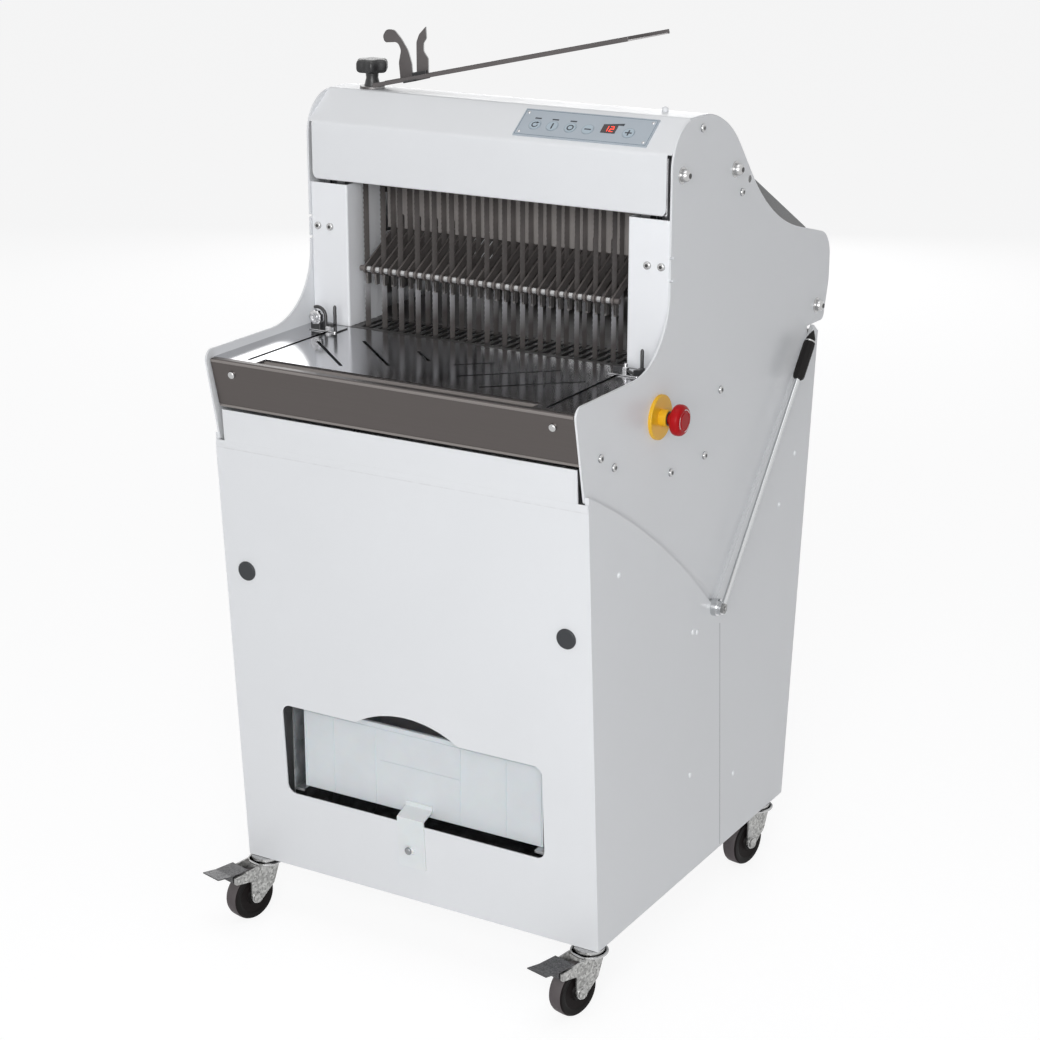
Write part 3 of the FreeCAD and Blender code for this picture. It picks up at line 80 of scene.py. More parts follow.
camera = {"place": (1.6754, -2.855, 1.68385), "yaw": 30.63, "down": 18.42, "lens": 80.9, "sensor": 36.0,
          "farthest": 60.0}
lamps = {
    "keyLamp": {"place": (1.8, -3.8, 1.9), "size": 2.6, "power": 103.0},
    "topLamp": {"place": (0.2, -0.6, 4.2), "size": 3.0, "power": 28.0},
    "backLamp": {"place": (-2.2, 4.2, 1.6), "size": 3.0, "power": 36.0},
}
studio = {"worldGrey": (0.26, 0.26, 0.2652), "worldSeen": (1.0, 1.0, 1.0),
          "floorColour": (0.86, 0.865, 0.87), "floorRough": 0.85, "floorSeen": (0.22, 0.22, 0.222),
          "floorWhite": 0.85, "floorHalf": 14.0, "aim": (0.0, 0.0, 0.65)}


def setCamera():
    data = bpy.data.cameras.new("studioCamera")
    data.lens = camera["lens"]
    data.sensor_width = camera["sensor"]
    data.clip_end = camera["farthest"]
    cam = bpy.data.objects.new("studioCamera", data)
    bpy.context.collection.objects.link(cam)
    cam.location = camera["place"]
    cam.rotation_euler = (math.radians(90 - camera["down"]), 0, math.radians(camera["yaw"]))
    bpy.context.scene.camera = cam


def setLamps():
    for name, lamp in lamps.items():
        data = bpy.data.lights.new(name, "AREA")
        data.shape = "DISK"
        data.size = lamp["size"]
        data.energy = lamp["power"]
        lampObject = bpy.data.objects.new(name, data)
        bpy.context.collection.objects.link(lampObject)
        lampObject.location = lamp["place"]
        aim = Vector(studio["aim"]) - lampObject.location
        lampObject.rotation_euler = aim.to_track_quat("-Z", "Y").to_euler()


def backgroundRays(tree):
    path = tree.nodes.new("ShaderNodeLightPath").outputs
    either = mathNode(tree, "MAXIMUM", path["Is Camera Ray"], path["Is Glossy Ray"])
    return mathNode(tree, "MAXIMUM", either, path["Is Transmission Ray"])


def setWorld():
    world = bpy.data.worlds.new("studioWorld")
    bpy.context.scene.world = world
    world.use_nodes = True
    tree = world.node_tree
    sky = mixColours(tree, backgroundRays(tree), studio["worldGrey"], studio["worldSeen"])
    tree.links.new(sky, tree.nodes["Background"].inputs["Color"])


def setFloor():
    mesh = bpy.data.meshes.new("studioFloor")
    half = studio["floorHalf"]
    corners = [(-half, -half, 0), (half, -half, 0), (half, half, 0), (-half, half, 0)]
    mesh.from_pydata(corners, [], [(0, 1, 2, 3)])
    floor = bpy.data.objects.new("studioFloor", mesh)
    bpy.context.collection.objects.link(floor)
    mat = bpy.data.materials.new("paleFloor")
    mat.use_nodes = True
    tree = mat.node_tree
    plain = tree.nodes["Principled BSDF"]
    plain.inputs["Base Color"].default_value = (*studio["floorColour"], 1)
    plain.inputs["Roughness"].default_value = studio["floorRough"]
    shaded = tree.nodes.new("ShaderNodeBsdfDiffuse")
    shaded.inputs["Color"].default_value = (*studio["floorSeen"], 1)
    glow = tree.nodes.new("ShaderNodeEmission")
    glow.inputs["Strength"].default_value = studio["floorWhite"]
    seen = tree.nodes.new("ShaderNodeAddShader")
    tree.links.new(shaded.outputs[0], seen.inputs[0])
    tree.links.new(glow.outputs[0], seen.inputs[1])
    mix = tree.nodes.new("ShaderNodeMixShader")
    tree.links.new(backgroundRays(tree), mix.inputs[0])
    tree.links.new(plain.outputs[0], mix.inputs[1])
    tree.links.new(seen.outputs[0], mix.inputs[2])
    tree.links.new(mix.outputs[0], tree.nodes["Material Output"].inputs["Surface"])
    mesh.materials.append(mat)


setCamera()
setLamps()
setWorld()
setFloor()
bpy.context.scene.view_settings.view_transform = "Standard"
print("studio set")


# shader node groups that several finishes share

def newGroup(name, inputs, outputs):
    group = bpy.data.node_groups.new(name, "ShaderNodeTree")
    for label, kind, value in inputs:
        socket = group.interface.new_socket(name=label, in_out="INPUT", socket_type=kind)
        socket.default_value = value
    for label, kind in outputs:
        group.interface.new_socket(name=label, in_out="OUTPUT", socket_type=kind)
    return group, group.nodes.new("NodeGroupInput"), group.nodes.new("NodeGroupOutput")


def noiseNode(tree, scale, detail=2.0, vector=None, roughness=0.5):
    noise = tree.nodes.new("ShaderNodeTexNoise")
    noise.inputs["Detail"].default_value = detail
    noise.inputs["Roughness"].default_value = roughness
    if isinstance(scale, (int, float)):
        noise.inputs["Scale"].default_value = scale
    else:
        tree.links.new(scale, noise.inputs["Scale"])
    if vector is None:
        vector = tree.nodes.new("ShaderNodeTexCoord").outputs["Object"]
    tree.links.new(vector, noise.inputs["Vector"])
    return noise.outputs["Fac"]


def buildOrangePeel():
    group, inn, out = newGroup("orangePeel", [("Peel Scale", "NodeSocketFloat", 700.0),
                                              ("Cloud Scale", "NodeSocketFloat", 6.0)],
                               [("Height", "NodeSocketFloat"), ("Cloud", "NodeSocketFloat")])
    fine = noiseNode(group, inn.outputs["Peel Scale"], 2.0)
    broad = noiseNode(group, inn.outputs["Cloud Scale"], 3.0)
    group.links.new(fine, out.inputs["Height"])
    group.links.new(broad, out.inputs["Cloud"])
    return group


def buildBrushLines():
    group, inn, out = newGroup("brushLines", [("Stretch", "NodeSocketVector", (4.0, 900.0, 900.0)),
                                              ("Cloud Scale", "NodeSocketFloat", 9.0)],
                               [("Lines", "NodeSocketFloat"), ("Cloud", "NodeSocketFloat")])
    coord = group.nodes.new("ShaderNodeTexCoord")
    scaled = group.nodes.new("ShaderNodeVectorMath")
    scaled.operation = "MULTIPLY"
    group.links.new(coord.outputs["Object"], scaled.inputs[0])
    group.links.new(inn.outputs["Stretch"], scaled.inputs[1])
    lines = noiseNode(group, 1.0, 3.0, scaled.outputs[0], 0.65)
    broad = noiseNode(group, inn.outputs["Cloud Scale"], 3.0)
    group.links.new(lines, out.inputs["Lines"])
    group.links.new(broad, out.inputs["Cloud"])
    return group


# how fast wear grows on a sharp edge, and how much the breakup eats out of it
wearSpread = {"gain": 6.0, "contrast": 2.4, "shift": -0.6}


def buildEdgeWear():
    group, inn, out = newGroup("edgeWear", [("Reach", "NodeSocketFloat", 0.0012),
                                            ("Breakup Scale", "NodeSocketFloat", 140.0)],
                               [("Mask", "NodeSocketFloat")])
    bevel = group.nodes.new("ShaderNodeBevel")
    bevel.samples = 4
    group.links.new(inn.outputs["Reach"], bevel.inputs["Radius"])
    geometry = group.nodes.new("ShaderNodeNewGeometry")
    dot = group.nodes.new("ShaderNodeVectorMath")
    dot.operation = "DOT_PRODUCT"
    group.links.new(bevel.outputs["Normal"], dot.inputs[0])
    group.links.new(geometry.outputs["Normal"], dot.inputs[1])
    turned = mathNode(group, "SUBTRACT", 1.0, dot.outputs["Value"])
    sharp = mathNode(group, "MULTIPLY", turned, wearSpread["gain"], clamp=True)
    broken = noiseNode(group, inn.outputs["Breakup Scale"], 4.0)
    spread = mathNode(group, "MULTIPLY_ADD", broken, wearSpread["contrast"], wearSpread["shift"])
    mask = mathNode(group, "MULTIPLY", sharp, spread, clamp=True)
    group.links.new(mask, out.inputs["Mask"])
    return group


def buildSettledDust():
    group, inn, out = newGroup("settledDust", [("Amount", "NodeSocketFloat", 0.2),
                                               ("Patch Scale", "NodeSocketFloat", 25.0)],
                               [("Mask", "NodeSocketFloat")])
    geometry = group.nodes.new("ShaderNodeNewGeometry")
    split = group.nodes.new("ShaderNodeSeparateXYZ")
    group.links.new(geometry.outputs["Normal"], split.inputs[0])
    up = mathNode(group, "MAXIMUM", split.outputs["Z"], 0.0)
    patches = noiseNode(group, inn.outputs["Patch Scale"], 5.0)
    dusty = mathNode(group, "MULTIPLY", up, patches)
    mask = mathNode(group, "MULTIPLY", dusty, inn.outputs["Amount"], clamp=True)
    group.links.new(mask, out.inputs["Mask"])
    return group


orangePeel = buildOrangePeel()
brushLines = buildBrushLines()
edgeWear = buildEdgeWear()
settledDust = buildSettledDust()


# finishes

finishes = {}


def startFinish(name, colour, roughness, metallic=0.0):
    mat = bpy.data.materials.new(name)
    mat.use_nodes = True
    mat.diffuse_color = (*colour, 1)
    shader = mat.node_tree.nodes["Principled BSDF"]
    shader.inputs["Base Color"].default_value = (*colour, 1)
    shader.inputs["Roughness"].default_value = roughness
    shader.inputs["Metallic"].default_value = metallic
    finishes[name] = mat
    return mat.node_tree, shader


def placeGroup(tree, group, **values):
    node = tree.nodes.new("ShaderNodeGroup")
    node.node_tree = group
    for label, value in values.items():
        node.inputs[label.replace("_", " ")].default_value = value
    return node


# noise keeps mostly between a quarter and three quarters, which is spread from low to high
def spanValue(tree, source, low, high):
    span = tree.nodes.new("ShaderNodeMapRange")
    span.inputs["From Min"].default_value = 0.25
    span.inputs["From Max"].default_value = 0.75
    span.inputs["To Min"].default_value = low
    span.inputs["To Max"].default_value = high
    tree.links.new(source, span.inputs["Value"])
    return span.outputs["Result"]


def bumpFrom(tree, height, strength, depth):
    bump = tree.nodes.new("ShaderNodeBump")
    bump.inputs["Strength"].default_value = strength
    bump.inputs["Distance"].default_value = depth
    tree.links.new(height, bump.inputs["Height"])
    return bump.outputs["Normal"]


def shadeOf(colour, factor):
    return tuple(c * factor for c in colour)


def paintFinish(name, colour, rough=0.36, peel=700.0, wear=0.25, underneath=(0.45, 0.45, 0.46), dust=0.1):
    tree, shader = startFinish(name, colour, rough)
    peelNode = placeGroup(tree, orangePeel, Peel_Scale=peel, Cloud_Scale=5.0)
    tone = mixColours(tree, peelNode.outputs["Cloud"], shadeOf(colour, 0.965), shadeOf(colour, 1.02))
    wearNode = placeGroup(tree, edgeWear, Reach=0.0011, Breakup_Scale=110.0)
    worn = mathNode(tree, "MULTIPLY", wearNode.outputs["Mask"], wear)
    tone = mixColours(tree, worn, tone, underneath)
    dustNode = placeGroup(tree, settledDust, Amount=dust, Patch_Scale=18.0)
    tone = mixColours(tree, dustNode.outputs["Mask"], tone, (0.62, 0.6, 0.56))
    tree.links.new(tone, shader.inputs["Base Color"])
    tree.links.new(spanValue(tree, peelNode.outputs["Cloud"], rough - 0.05, rough + 0.07),
                   shader.inputs["Roughness"])
    tree.links.new(bumpFrom(tree, peelNode.outputs["Height"], 0.12, 0.0003), shader.inputs["Normal"])
    shader.inputs["Coat Weight"].default_value = 0.15
    shader.inputs["Coat Roughness"].default_value = 0.2


def brushedFinish(name, colour, rough, stretch, depth=0.1, contrast=0.12, metallic=1.0):
    tree, shader = startFinish(name, colour, rough, metallic)
    lines = placeGroup(tree, brushLines, Stretch=stretch, Cloud_Scale=7.0)
    tone = mixColours(tree, lines.outputs["Lines"], shadeOf(colour, 1 - contrast),
                      shadeOf(colour, 1 + contrast))
    wearNode = placeGroup(tree, edgeWear, Reach=0.0008, Breakup_Scale=200.0)
    worn = mathNode(tree, "MULTIPLY", wearNode.outputs["Mask"], 0.35)
    tone = mixColours(tree, worn, tone, shadeOf(colour, 1.35))
    tree.links.new(tone, shader.inputs["Base Color"])
    roughLines = spanValue(tree, lines.outputs["Lines"], rough * 0.8, rough * 1.25)
    cloud = spanValue(tree, lines.outputs["Cloud"], -0.03, 0.05)
    tree.links.new(mathNode(tree, "ADD", roughLines, cloud, clamp=True), shader.inputs["Roughness"])
    tree.links.new(bumpFrom(tree, lines.outputs["Lines"], depth, 0.0001), shader.inputs["Normal"])


def mouldedFinish(name, colour, rough, grain=1400.0, depth=0.08, gloss=0.0, dust=0.0):
    tree, shader = startFinish(name, colour, rough)
    peelNode = placeGroup(tree, orangePeel, Peel_Scale=grain, Cloud_Scale=22.0)
    tone = mixColours(tree, peelNode.outputs["Cloud"], shadeOf(colour, 0.93), shadeOf(colour, 1.05))
    wearNode = placeGroup(tree, edgeWear, Reach=0.0006, Breakup_Scale=260.0)
    worn = mathNode(tree, "MULTIPLY", wearNode.outputs["Mask"], 0.2)
    tone = mixColours(tree, worn, tone, tuple(min(1.0, c * 1.3 + 0.03) for c in colour))
    if dust > 0:
        dustNode = placeGroup(tree, settledDust, Amount=dust, Patch_Scale=60.0)
        tone = mixColours(tree, dustNode.outputs["Mask"], tone, (0.5, 0.49, 0.47))
    tree.links.new(tone, shader.inputs["Base Color"])
    tree.links.new(spanValue(tree, peelNode.outputs["Cloud"], rough - 0.05, rough + 0.08),
                   shader.inputs["Roughness"])
    tree.links.new(bumpFrom(tree, peelNode.outputs["Height"], depth, 0.0002), shader.inputs["Normal"])
    shader.inputs["Coat Weight"].default_value = gloss
    shader.inputs["Coat Roughness"].default_value = 0.08
    return shader


def spangleFinish(name, colour, scale=90.0, metallic=1.0, dark=0.82, light=1.12):
    tree, shader = startFinish(name, colour, 0.42, metallic)
    cells = tree.nodes.new("ShaderNodeTexVoronoi")
    cells.inputs["Scale"].default_value = scale
    tree.links.new(tree.nodes.new("ShaderNodeTexCoord").outputs["Object"], cells.inputs["Vector"])
    split = tree.nodes.new("ShaderNodeSeparateColor")
    tree.links.new(cells.outputs["Color"], split.inputs[0])
    tone = mixColours(tree, split.outputs[0], shadeOf(colour, dark), shadeOf(colour, light))
    tree.links.new(tone, shader.inputs["Base Color"])
    tree.links.new(spanValue(tree, split.outputs[1], 0.34, 0.5), shader.inputs["Roughness"])


# faces turned along the object's y axis take the darker flank colour and sharp edges take the edge colour:
# painted shade on the bag blade's sides and edges
def paintedShadeFlankFinish(name, colour, flank, edge):
    tree, shader = startFinish(name, colour, 0.42, 0.8)
    coord = tree.nodes.new("ShaderNodeTexCoord")
    split = tree.nodes.new("ShaderNodeSeparateXYZ")
    tree.links.new(coord.outputs["Normal"], split.inputs[0])
    across = mathNode(tree, "ABSOLUTE", split.outputs["Y"])
    lines = placeGroup(tree, brushLines, Stretch=alongX, Cloud_Scale=12.0)
    tone = mixColours(tree, lines.outputs["Lines"], shadeOf(colour, 0.9), shadeOf(colour, 1.1))
    dark = mixColours(tree, lines.outputs["Cloud"], shadeOf(flank, 0.8), shadeOf(flank, 1.2))
    tone = mixColours(tree, mathNode(tree, "MULTIPLY", across, across, clamp=True), tone, dark)
    rim = placeGroup(tree, edgeWear, Reach=0.0012, Breakup_Scale=40.0)
    tone = mixColours(tree, rim.outputs["Mask"], tone, edge)
    tree.links.new(tone, shader.inputs["Base Color"])
    tree.links.new(spanValue(tree, lines.outputs["Cloud"], 0.36, 0.52), shader.inputs["Roughness"])
    tree.links.new(bumpFrom(tree, lines.outputs["Lines"], 0.06, 0.0001), shader.inputs["Normal"])


# heights in metres over which the blades' tone changes, where their painted highlight band peaks, and where
# the top fades into painted shade under the hood
paintedLightBands = {"span": (0.87, 1.1), "plain": (0.12, 0.42, 0.75), "bright": 0.3}


# colour set by height: a painted highlight band low down and painted shade darkening towards the top under
# the hood
def paintedLightBandFinish(name, colour, bright, paintedShadeTop):
    tree, shader = startFinish(name, colour, 0.4, 0.35)
    coord = tree.nodes.new("ShaderNodeTexCoord")
    split = tree.nodes.new("ShaderNodeSeparateXYZ")
    tree.links.new(coord.outputs["Object"], split.inputs[0])
    ramp = tree.nodes.new("ShaderNodeValToRGB")
    stops = ramp.color_ramp.elements
    stops[0].color = (*colour, 1)
    stops[1].color = (*paintedShadeTop, 1)
    for spot in paintedLightBands["plain"]:
        stops.new(spot).color = (*colour, 1)
    stops.new(paintedLightBands["bright"]).color = (*bright, 1)
    low, high = paintedLightBands["span"]
    height = tree.nodes.new("ShaderNodeMapRange")
    height.inputs["From Min"].default_value = low
    height.inputs["From Max"].default_value = high
    tree.links.new(split.outputs["Z"], height.inputs["Value"])
    tree.links.new(height.outputs["Result"], ramp.inputs["Fac"])
    lines = placeGroup(tree, brushLines, Stretch=alongZ, Cloud_Scale=20.0)
    shade = mathNode(tree, "MULTIPLY_ADD", lines.outputs["Lines"], 0.5, 0.72)
    scaled = tree.nodes.new("ShaderNodeVectorMath")
    scaled.operation = "SCALE"
    tree.links.new(ramp.outputs["Color"], scaled.inputs[0])
    tree.links.new(shade, scaled.inputs["Scale"])
    tree.links.new(scaled.outputs[0], shader.inputs["Base Color"])
    tree.links.new(spanValue(tree, lines.outputs["Cloud"], 0.34, 0.5), shader.inputs["Roughness"])
    tree.links.new(bumpFrom(tree, lines.outputs["Lines"], 0.05, 0.0001), shader.inputs["Normal"])


def castFinish(name, colour):
    tree, shader = startFinish(name, colour, 0.6, 0.7)
    peelNode = placeGroup(tree, orangePeel, Peel_Scale=320.0, Cloud_Scale=14.0)
    tone = mixColours(tree, peelNode.outputs["Cloud"], shadeOf(colour, 0.8), shadeOf(colour, 1.15))
    tree.links.new(tone, shader.inputs["Base Color"])
    tree.links.new(bumpFrom(tree, peelNode.outputs["Height"], 0.35, 0.0006), shader.inputs["Normal"])


def lightPlastic(name, colour):
    shader = mouldedFinish(name, colour, 0.42, 900.0, 0.06, 0.1)
    shader.inputs["Subsurface Weight"].default_value = 0.15
    shader.inputs["Subsurface Scale"].default_value = 0.01


def glowFinish(name, colour, strength):
    _, shader = startFinish(name, colour, 0.4)
    shader.inputs["Emission Color"].default_value = (*colour, 1)
    shader.inputs["Emission Strength"].default_value = strength


alongX = (5.0, 1100.0, 1100.0)
alongY = (1100.0, 5.0, 1100.0)
alongZ = (1100.0, 1100.0, 5.0)
paintFinish("powderWhite", (0.79, 0.805, 0.825))
# a slightly darker copy of the same white paint for the side panels and plates: painted shade on the sides
paintFinish("powderWhiteSidePaintedShade", (0.77, 0.785, 0.805))
# darker copy of the white paint for the side panels' upward-facing top edge: painted shade
paintFinish("seamTopPaintedShade", (0.53, 0.54, 0.555))
# a lighter copy of the same white paint for the pillars and cheek walls in the recess and for the side
# rivets: painted light
paintFinish("powderWhitePaintedLight", (0.88, 0.895, 0.92))
spangleFinish("galvanisedSheet", (0.5, 0.51, 0.52))
brushedFinish("mirrorTable", (0.52, 0.52, 0.535), 0.13, alongX, 0.03, 0.03)
# infeed table darkened well below bare steel: painted shade for the dim inside behind the blades
brushedFinish("infeedSteel", (0.2, 0.195, 0.195), 0.4, alongX, 0.06, 0.1)
brushedFinish("warmLip", (0.12, 0.108, 0.104), 0.34, alongX, 0.08, 0.1)
brushedFinish("lipHem", (0.26, 0.24, 0.23), 0.3, alongX, 0.08, 0.08)
brushedFinish("satinSteel", (0.5, 0.5, 0.51), 0.3, alongZ)
# the guard comb darkens towards its top: painted shade under the hood
paintedLightBandFinish("guardSteel", (0.3, 0.28, 0.27), (0.3, 0.28, 0.27), (0.1, 0.092, 0.09))
brushedFinish("fingerSteel", (0.15, 0.135, 0.13), 0.42, alongZ, 0.08, 0.2, 0.4)
brushedFinish("fingerTips", (0.2, 0.19, 0.185), 0.3, alongZ, 0.05, 0.1, 0.7)
brushedFinish("groundSteel", (0.6, 0.6, 0.61), 0.16, alongZ, 0.04, 0.05)
brushedFinish("frameSteel", (0.3, 0.3, 0.31), 0.36, alongX)
# the blades get a painted highlight band and painted shade towards their top
paintedLightBandFinish("bladeSteel", (0.24, 0.222, 0.216), (0.8, 0.8, 0.83), (0.06, 0.055, 0.055))
brushedFinish("chromeLever", (0.6, 0.61, 0.62), 0.14, alongZ, 0.03, 0.04)
# pusher darkened well below bare aluminium: painted shade for the dim inside behind the blades
brushedFinish("castAluminium", (0.12, 0.11, 0.105), 0.5, alongX, 0.08, 0.2, 0.5)
# the bag blade's flanks and edges are painted darker: painted shade
paintedShadeFlankFinish("bagSteel", (0.46, 0.455, 0.455), (0.13, 0.12, 0.12), (0.02, 0.02, 0.02))
brushedFinish("brightZinc", (0.5, 0.5, 0.5), 0.24, alongY, 0.04, 0.05)
brushedFinish("apronSteel", (0.2, 0.18, 0.17), 0.5, alongX, 0.08, 0.1, 0.5)
brushedFinish("screwSteel", (0.3, 0.31, 0.32), 0.28, alongX, 0.05, 0.1)
brushedFinish("domeChrome", (0.34, 0.35, 0.36), 0.16, alongY, 0.03, 0.05)
brushedFinish("nutZinc", (0.3, 0.3, 0.3), 0.3, alongY, 0.04, 0.05)
spangleFinish("zincFork", (0.44, 0.44, 0.43), 320.0, 0.75, 0.55, 1.3)
castFinish("castIron", (0.12, 0.125, 0.13))
paintFinish("motorEnamel", (0.06, 0.08, 0.12), 0.4, 420.0, 0.3)
spangleFinish("pedalPaint", (0.085, 0.085, 0.088), 600.0, 0.6, 0.5, 1.5)
paintFinish("blackenedSteel", (0.025, 0.025, 0.027), 0.35, 600.0, 0.5, (0.3, 0.3, 0.3), 0.02)
mouldedFinish("foilPanel", (0.42, 0.47, 0.52), 0.45)
mouldedFinish("foilKey", (0.42, 0.5, 0.56), 0.42)
mouldedFinish("yellowPlastic", (0.78, 0.44, 0.012), 0.4, gloss=0.12)
mouldedFinish("redPlastic", (0.4, 0.006, 0.009), 0.34, gloss=0.0)
mouldedFinish("blackPlastic", (0.014, 0.014, 0.015), 0.36, 700.0, 0.15, 0.1, 0.05)
mouldedFinish("plugPlastic", (0.025, 0.028, 0.032), 0.4, 700.0, 0.12)
mouldedFinish("greyPlastic", (0.14, 0.15, 0.16), 0.5)
mouldedFinish("treadRubber", (0.085, 0.072, 0.076), 0.7, 500.0, 0.3, 0.0, 0.25)
mouldedFinish("beltRubber", (0.012, 0.012, 0.012), 0.75, 800.0, 0.3)
mouldedFinish("smokedCover", (0.035, 0.038, 0.042), 0.22, gloss=0.5)
mouldedFinish("inkDark", (0.03, 0.035, 0.045), 0.5)
mouldedFinish("inkGlass", (0.02, 0.004, 0.004), 0.2, gloss=0.5)
mouldedFinish("seamGrey", (0.36, 0.37, 0.39), 0.45)
mouldedFinish("borderGrey", (0.13, 0.18, 0.23), 0.45)
mouldedFinish("ringGrey", (0.27, 0.33, 0.38), 0.45)
# near-black discs standing for the hex sockets and nut bores: painted shade in those hollows
mouldedFinish("socketPaintedShade", (0.03, 0.03, 0.03), 0.45)
mouldedFinish("wheelCore", (0.006, 0.005, 0.005), 0.45)
mouldedFinish("wheelBlack", (0.008, 0.006, 0.006), 0.6, 500.0, 0.2)
mouldedFinish("gripPlastic", (0.013, 0.012, 0.012), 0.45)
for dull in ("wheelBlack", "wheelCore", "gripPlastic", "redPlastic"):
    finishes[dull].node_tree.nodes["Principled BSDF"].inputs["Specular IOR Level"].default_value = 0.12
lightPlastic("milkyPlastic", (0.72, 0.745, 0.77))
lightPlastic("tabPlastic", (0.8, 0.81, 0.82))
glowFinish("digitGlow", (1.0, 0.05, 0.02), 2.2)
print("finishes made:", len(finishes))


# CAD nodes keep their shape and get a finish

nodeFinish = {
    "powderWhite": ("front_panel", "rear_panel", "top_hood"),
    "powderWhitePaintedLight": ("pillars",),
    "powderWhiteSidePaintedShade": ("base_side_left", "base_side_right", "side_plate_left", "side_plate_right"),
    "galvanisedSheet": ("floor_pan", "drawer_housing"),
    "mirrorTable": ("outfeed_table",),
    "infeedSteel": ("infeed_table",),
    "warmLip": ("front_lip",),
    "satinSteel": ("infeed_guides",),
    "guardSteel": ("upper_comb",),
    "fingerSteel": ("hold_down",),
    "groundSteel": ("guide_rods", "crankshaft", "motor_pulley"),
    "castIron": ("bearings",),
    "motorEnamel": ("motor",),
    "foilPanel": ("control_panel",),
    "foilKey": ("start_key", "jog_key", "stop_key", "minus_key", "plus_key"),
    "yellowPlastic": ("estop_collar",),
    "redPlastic": ("estop_button",),
    "plugPlastic": ("front_plugs",),
    "brightZinc": ("fasteners",),
    "beltRubber": ("drive_belt",),
    "greyPlastic": ("control_box",),
    "blackPlastic": ("cable_gland", "lever_grip", "blade_knob"),
    "frameSteel": ("front_frame", "rear_frame", "front_rods", "rear_rods"),
    "bladeSteel": ("front_blades", "rear_blades"),
    "chromeLever": ("feed_lever",),
    "castAluminium": ("pusher",),
    "blackenedSteel": ("loaf_stop_left", "loaf_stop_right"),
    "bagSteel": ("bag_blade",),
    "smokedCover": ("rear_cover",),
    "zincFork": ("fork_front_left", "fork_front_right", "fork_rear_left", "fork_rear_right"),
    "pedalPaint": ("pedal_front_left", "pedal_front_right"),
    "treadRubber": ("wheel_front_left", "wheel_front_right", "wheel_rear_left", "wheel_rear_right"),
    "milkyPlastic": ("crumb_drawer",),
    "tabPlastic": ("drawer_tab",),
}
edgeRounding = {"segments": 2, "angle": 32.0}


def roundEdges(obj, width):
    bevel = obj.modifiers.new("roundedEdges", "BEVEL")
    bevel.width = width
    bevel.segments = edgeRounding["segments"]
    bevel.limit_method = "ANGLE"
    bevel.angle_limit = math.radians(edgeRounding["angle"])
    bevel.harden_normals = True


for finish, names in nodeFinish.items():
    for name in names:
        mesh = nodes[name].data
        mesh.materials.clear()
        mesh.materials.append(finishes[finish])
print("CAD nodes dressed")


# mesh helpers: outlines in millimetres, meshes in metres

def place(x, y, z, towards="up"):
    turns = {"up": Matrix(), "right": Matrix.Rotation(math.pi / 2, 4, "Y"),
             "left": Matrix.Rotation(-math.pi / 2, 4, "Y"), "front": Matrix.Rotation(math.pi / 2, 4, "X"),
             "back": Matrix.Rotation(-math.pi / 2, 4, "X")}
    return Matrix.Translation(Vector((x, y, z))) @ turns[towards]


def addFaces(bm, rings, matrix):
    made = [[bm.verts.new((matrix @ Vector(p)) * mm) for p in ring] for ring in rings]
    count = len(made[0])
    for a, b in zip(made, made[1:]):
        for i in range(count):
            j = (i + 1) % count
            bm.faces.new((a[i], a[j], b[j], b[i]))
    bm.faces.new(made[0][::-1])
    bm.faces.new(made[-1])


def addTurned(bm, profile, matrix, segments=48, shape=None):
    rings = []
    for radius, height in profile:
        ring = []
        for i in range(segments):
            angle = 2 * math.pi * i / segments
            r = max(radius, 0.01) * (shape(angle) if shape else 1.0)
            ring.append((r * math.cos(angle), r * math.sin(angle), height))
        rings.append(ring)
    addFaces(bm, rings, matrix)


def addPlate(bm, outline, low, high, matrix):
    rings = [[(u, v, h) for u, v in outline] for h in (low, high)]
    addFaces(bm, rings, matrix)


def addBlock(bm, x0, x1, y0, y1, z0, z1, matrix=Matrix()):
    addPlate(bm, [(x0, y0), (x1, y0), (x1, y1), (x0, y1)], z0, z1, matrix)


def addTube(bm, points, radius, segments=12):
    points = [Vector(p) for p in points]
    rings = []
    side = None
    for i, point in enumerate(points):
        ahead = points[min(i + 1, len(points) - 1)] - points[max(i - 1, 0)]
        ahead.normalize()
        if side is None:
            side = ahead.orthogonal().normalized()
        side = (side - ahead * side.dot(ahead)).normalized()
        across = ahead.cross(side)
        ring = []
        for k in range(segments):
            angle = 2 * math.pi * k / segments
            ring.append(point + (side * math.cos(angle) + across * math.sin(angle)) * radius)
        rings.append(ring)
    addFaces(bm, rings, Matrix())


def roundTop(radius, rise, steps=6, base=0.0):
    return [(radius * math.cos(math.pi / 2 * i / steps), base + rise * math.sin(math.pi / 2 * i / steps))
            for i in range(steps + 1)]


def softBox(width, depth, radius, steps=5):
    points = []
    for cx, cy, start in ((1, 1, 0), (-1, 1, 90), (-1, -1, 180), (1, -1, 270)):
        for i in range(steps + 1):
            angle = math.radians(start + 90 * i / steps)
            points.append((cx * (width / 2 - radius) + radius * math.cos(angle),
                           cy * (depth / 2 - radius) + radius * math.sin(angle)))
    return points


# one side of a turned profile as (radius, distance in from the side), and its mirror image
def mirrored(side, half):
    return ([(radius, inset - half) for radius, inset in side]
            + [(radius, half - inset) for radius, inset in reversed(side)])


def hexagon(radius):
    return [(math.cos(math.radians(60 * i)) * radius, math.sin(math.radians(60 * i)) * radius)
            for i in range(6)]


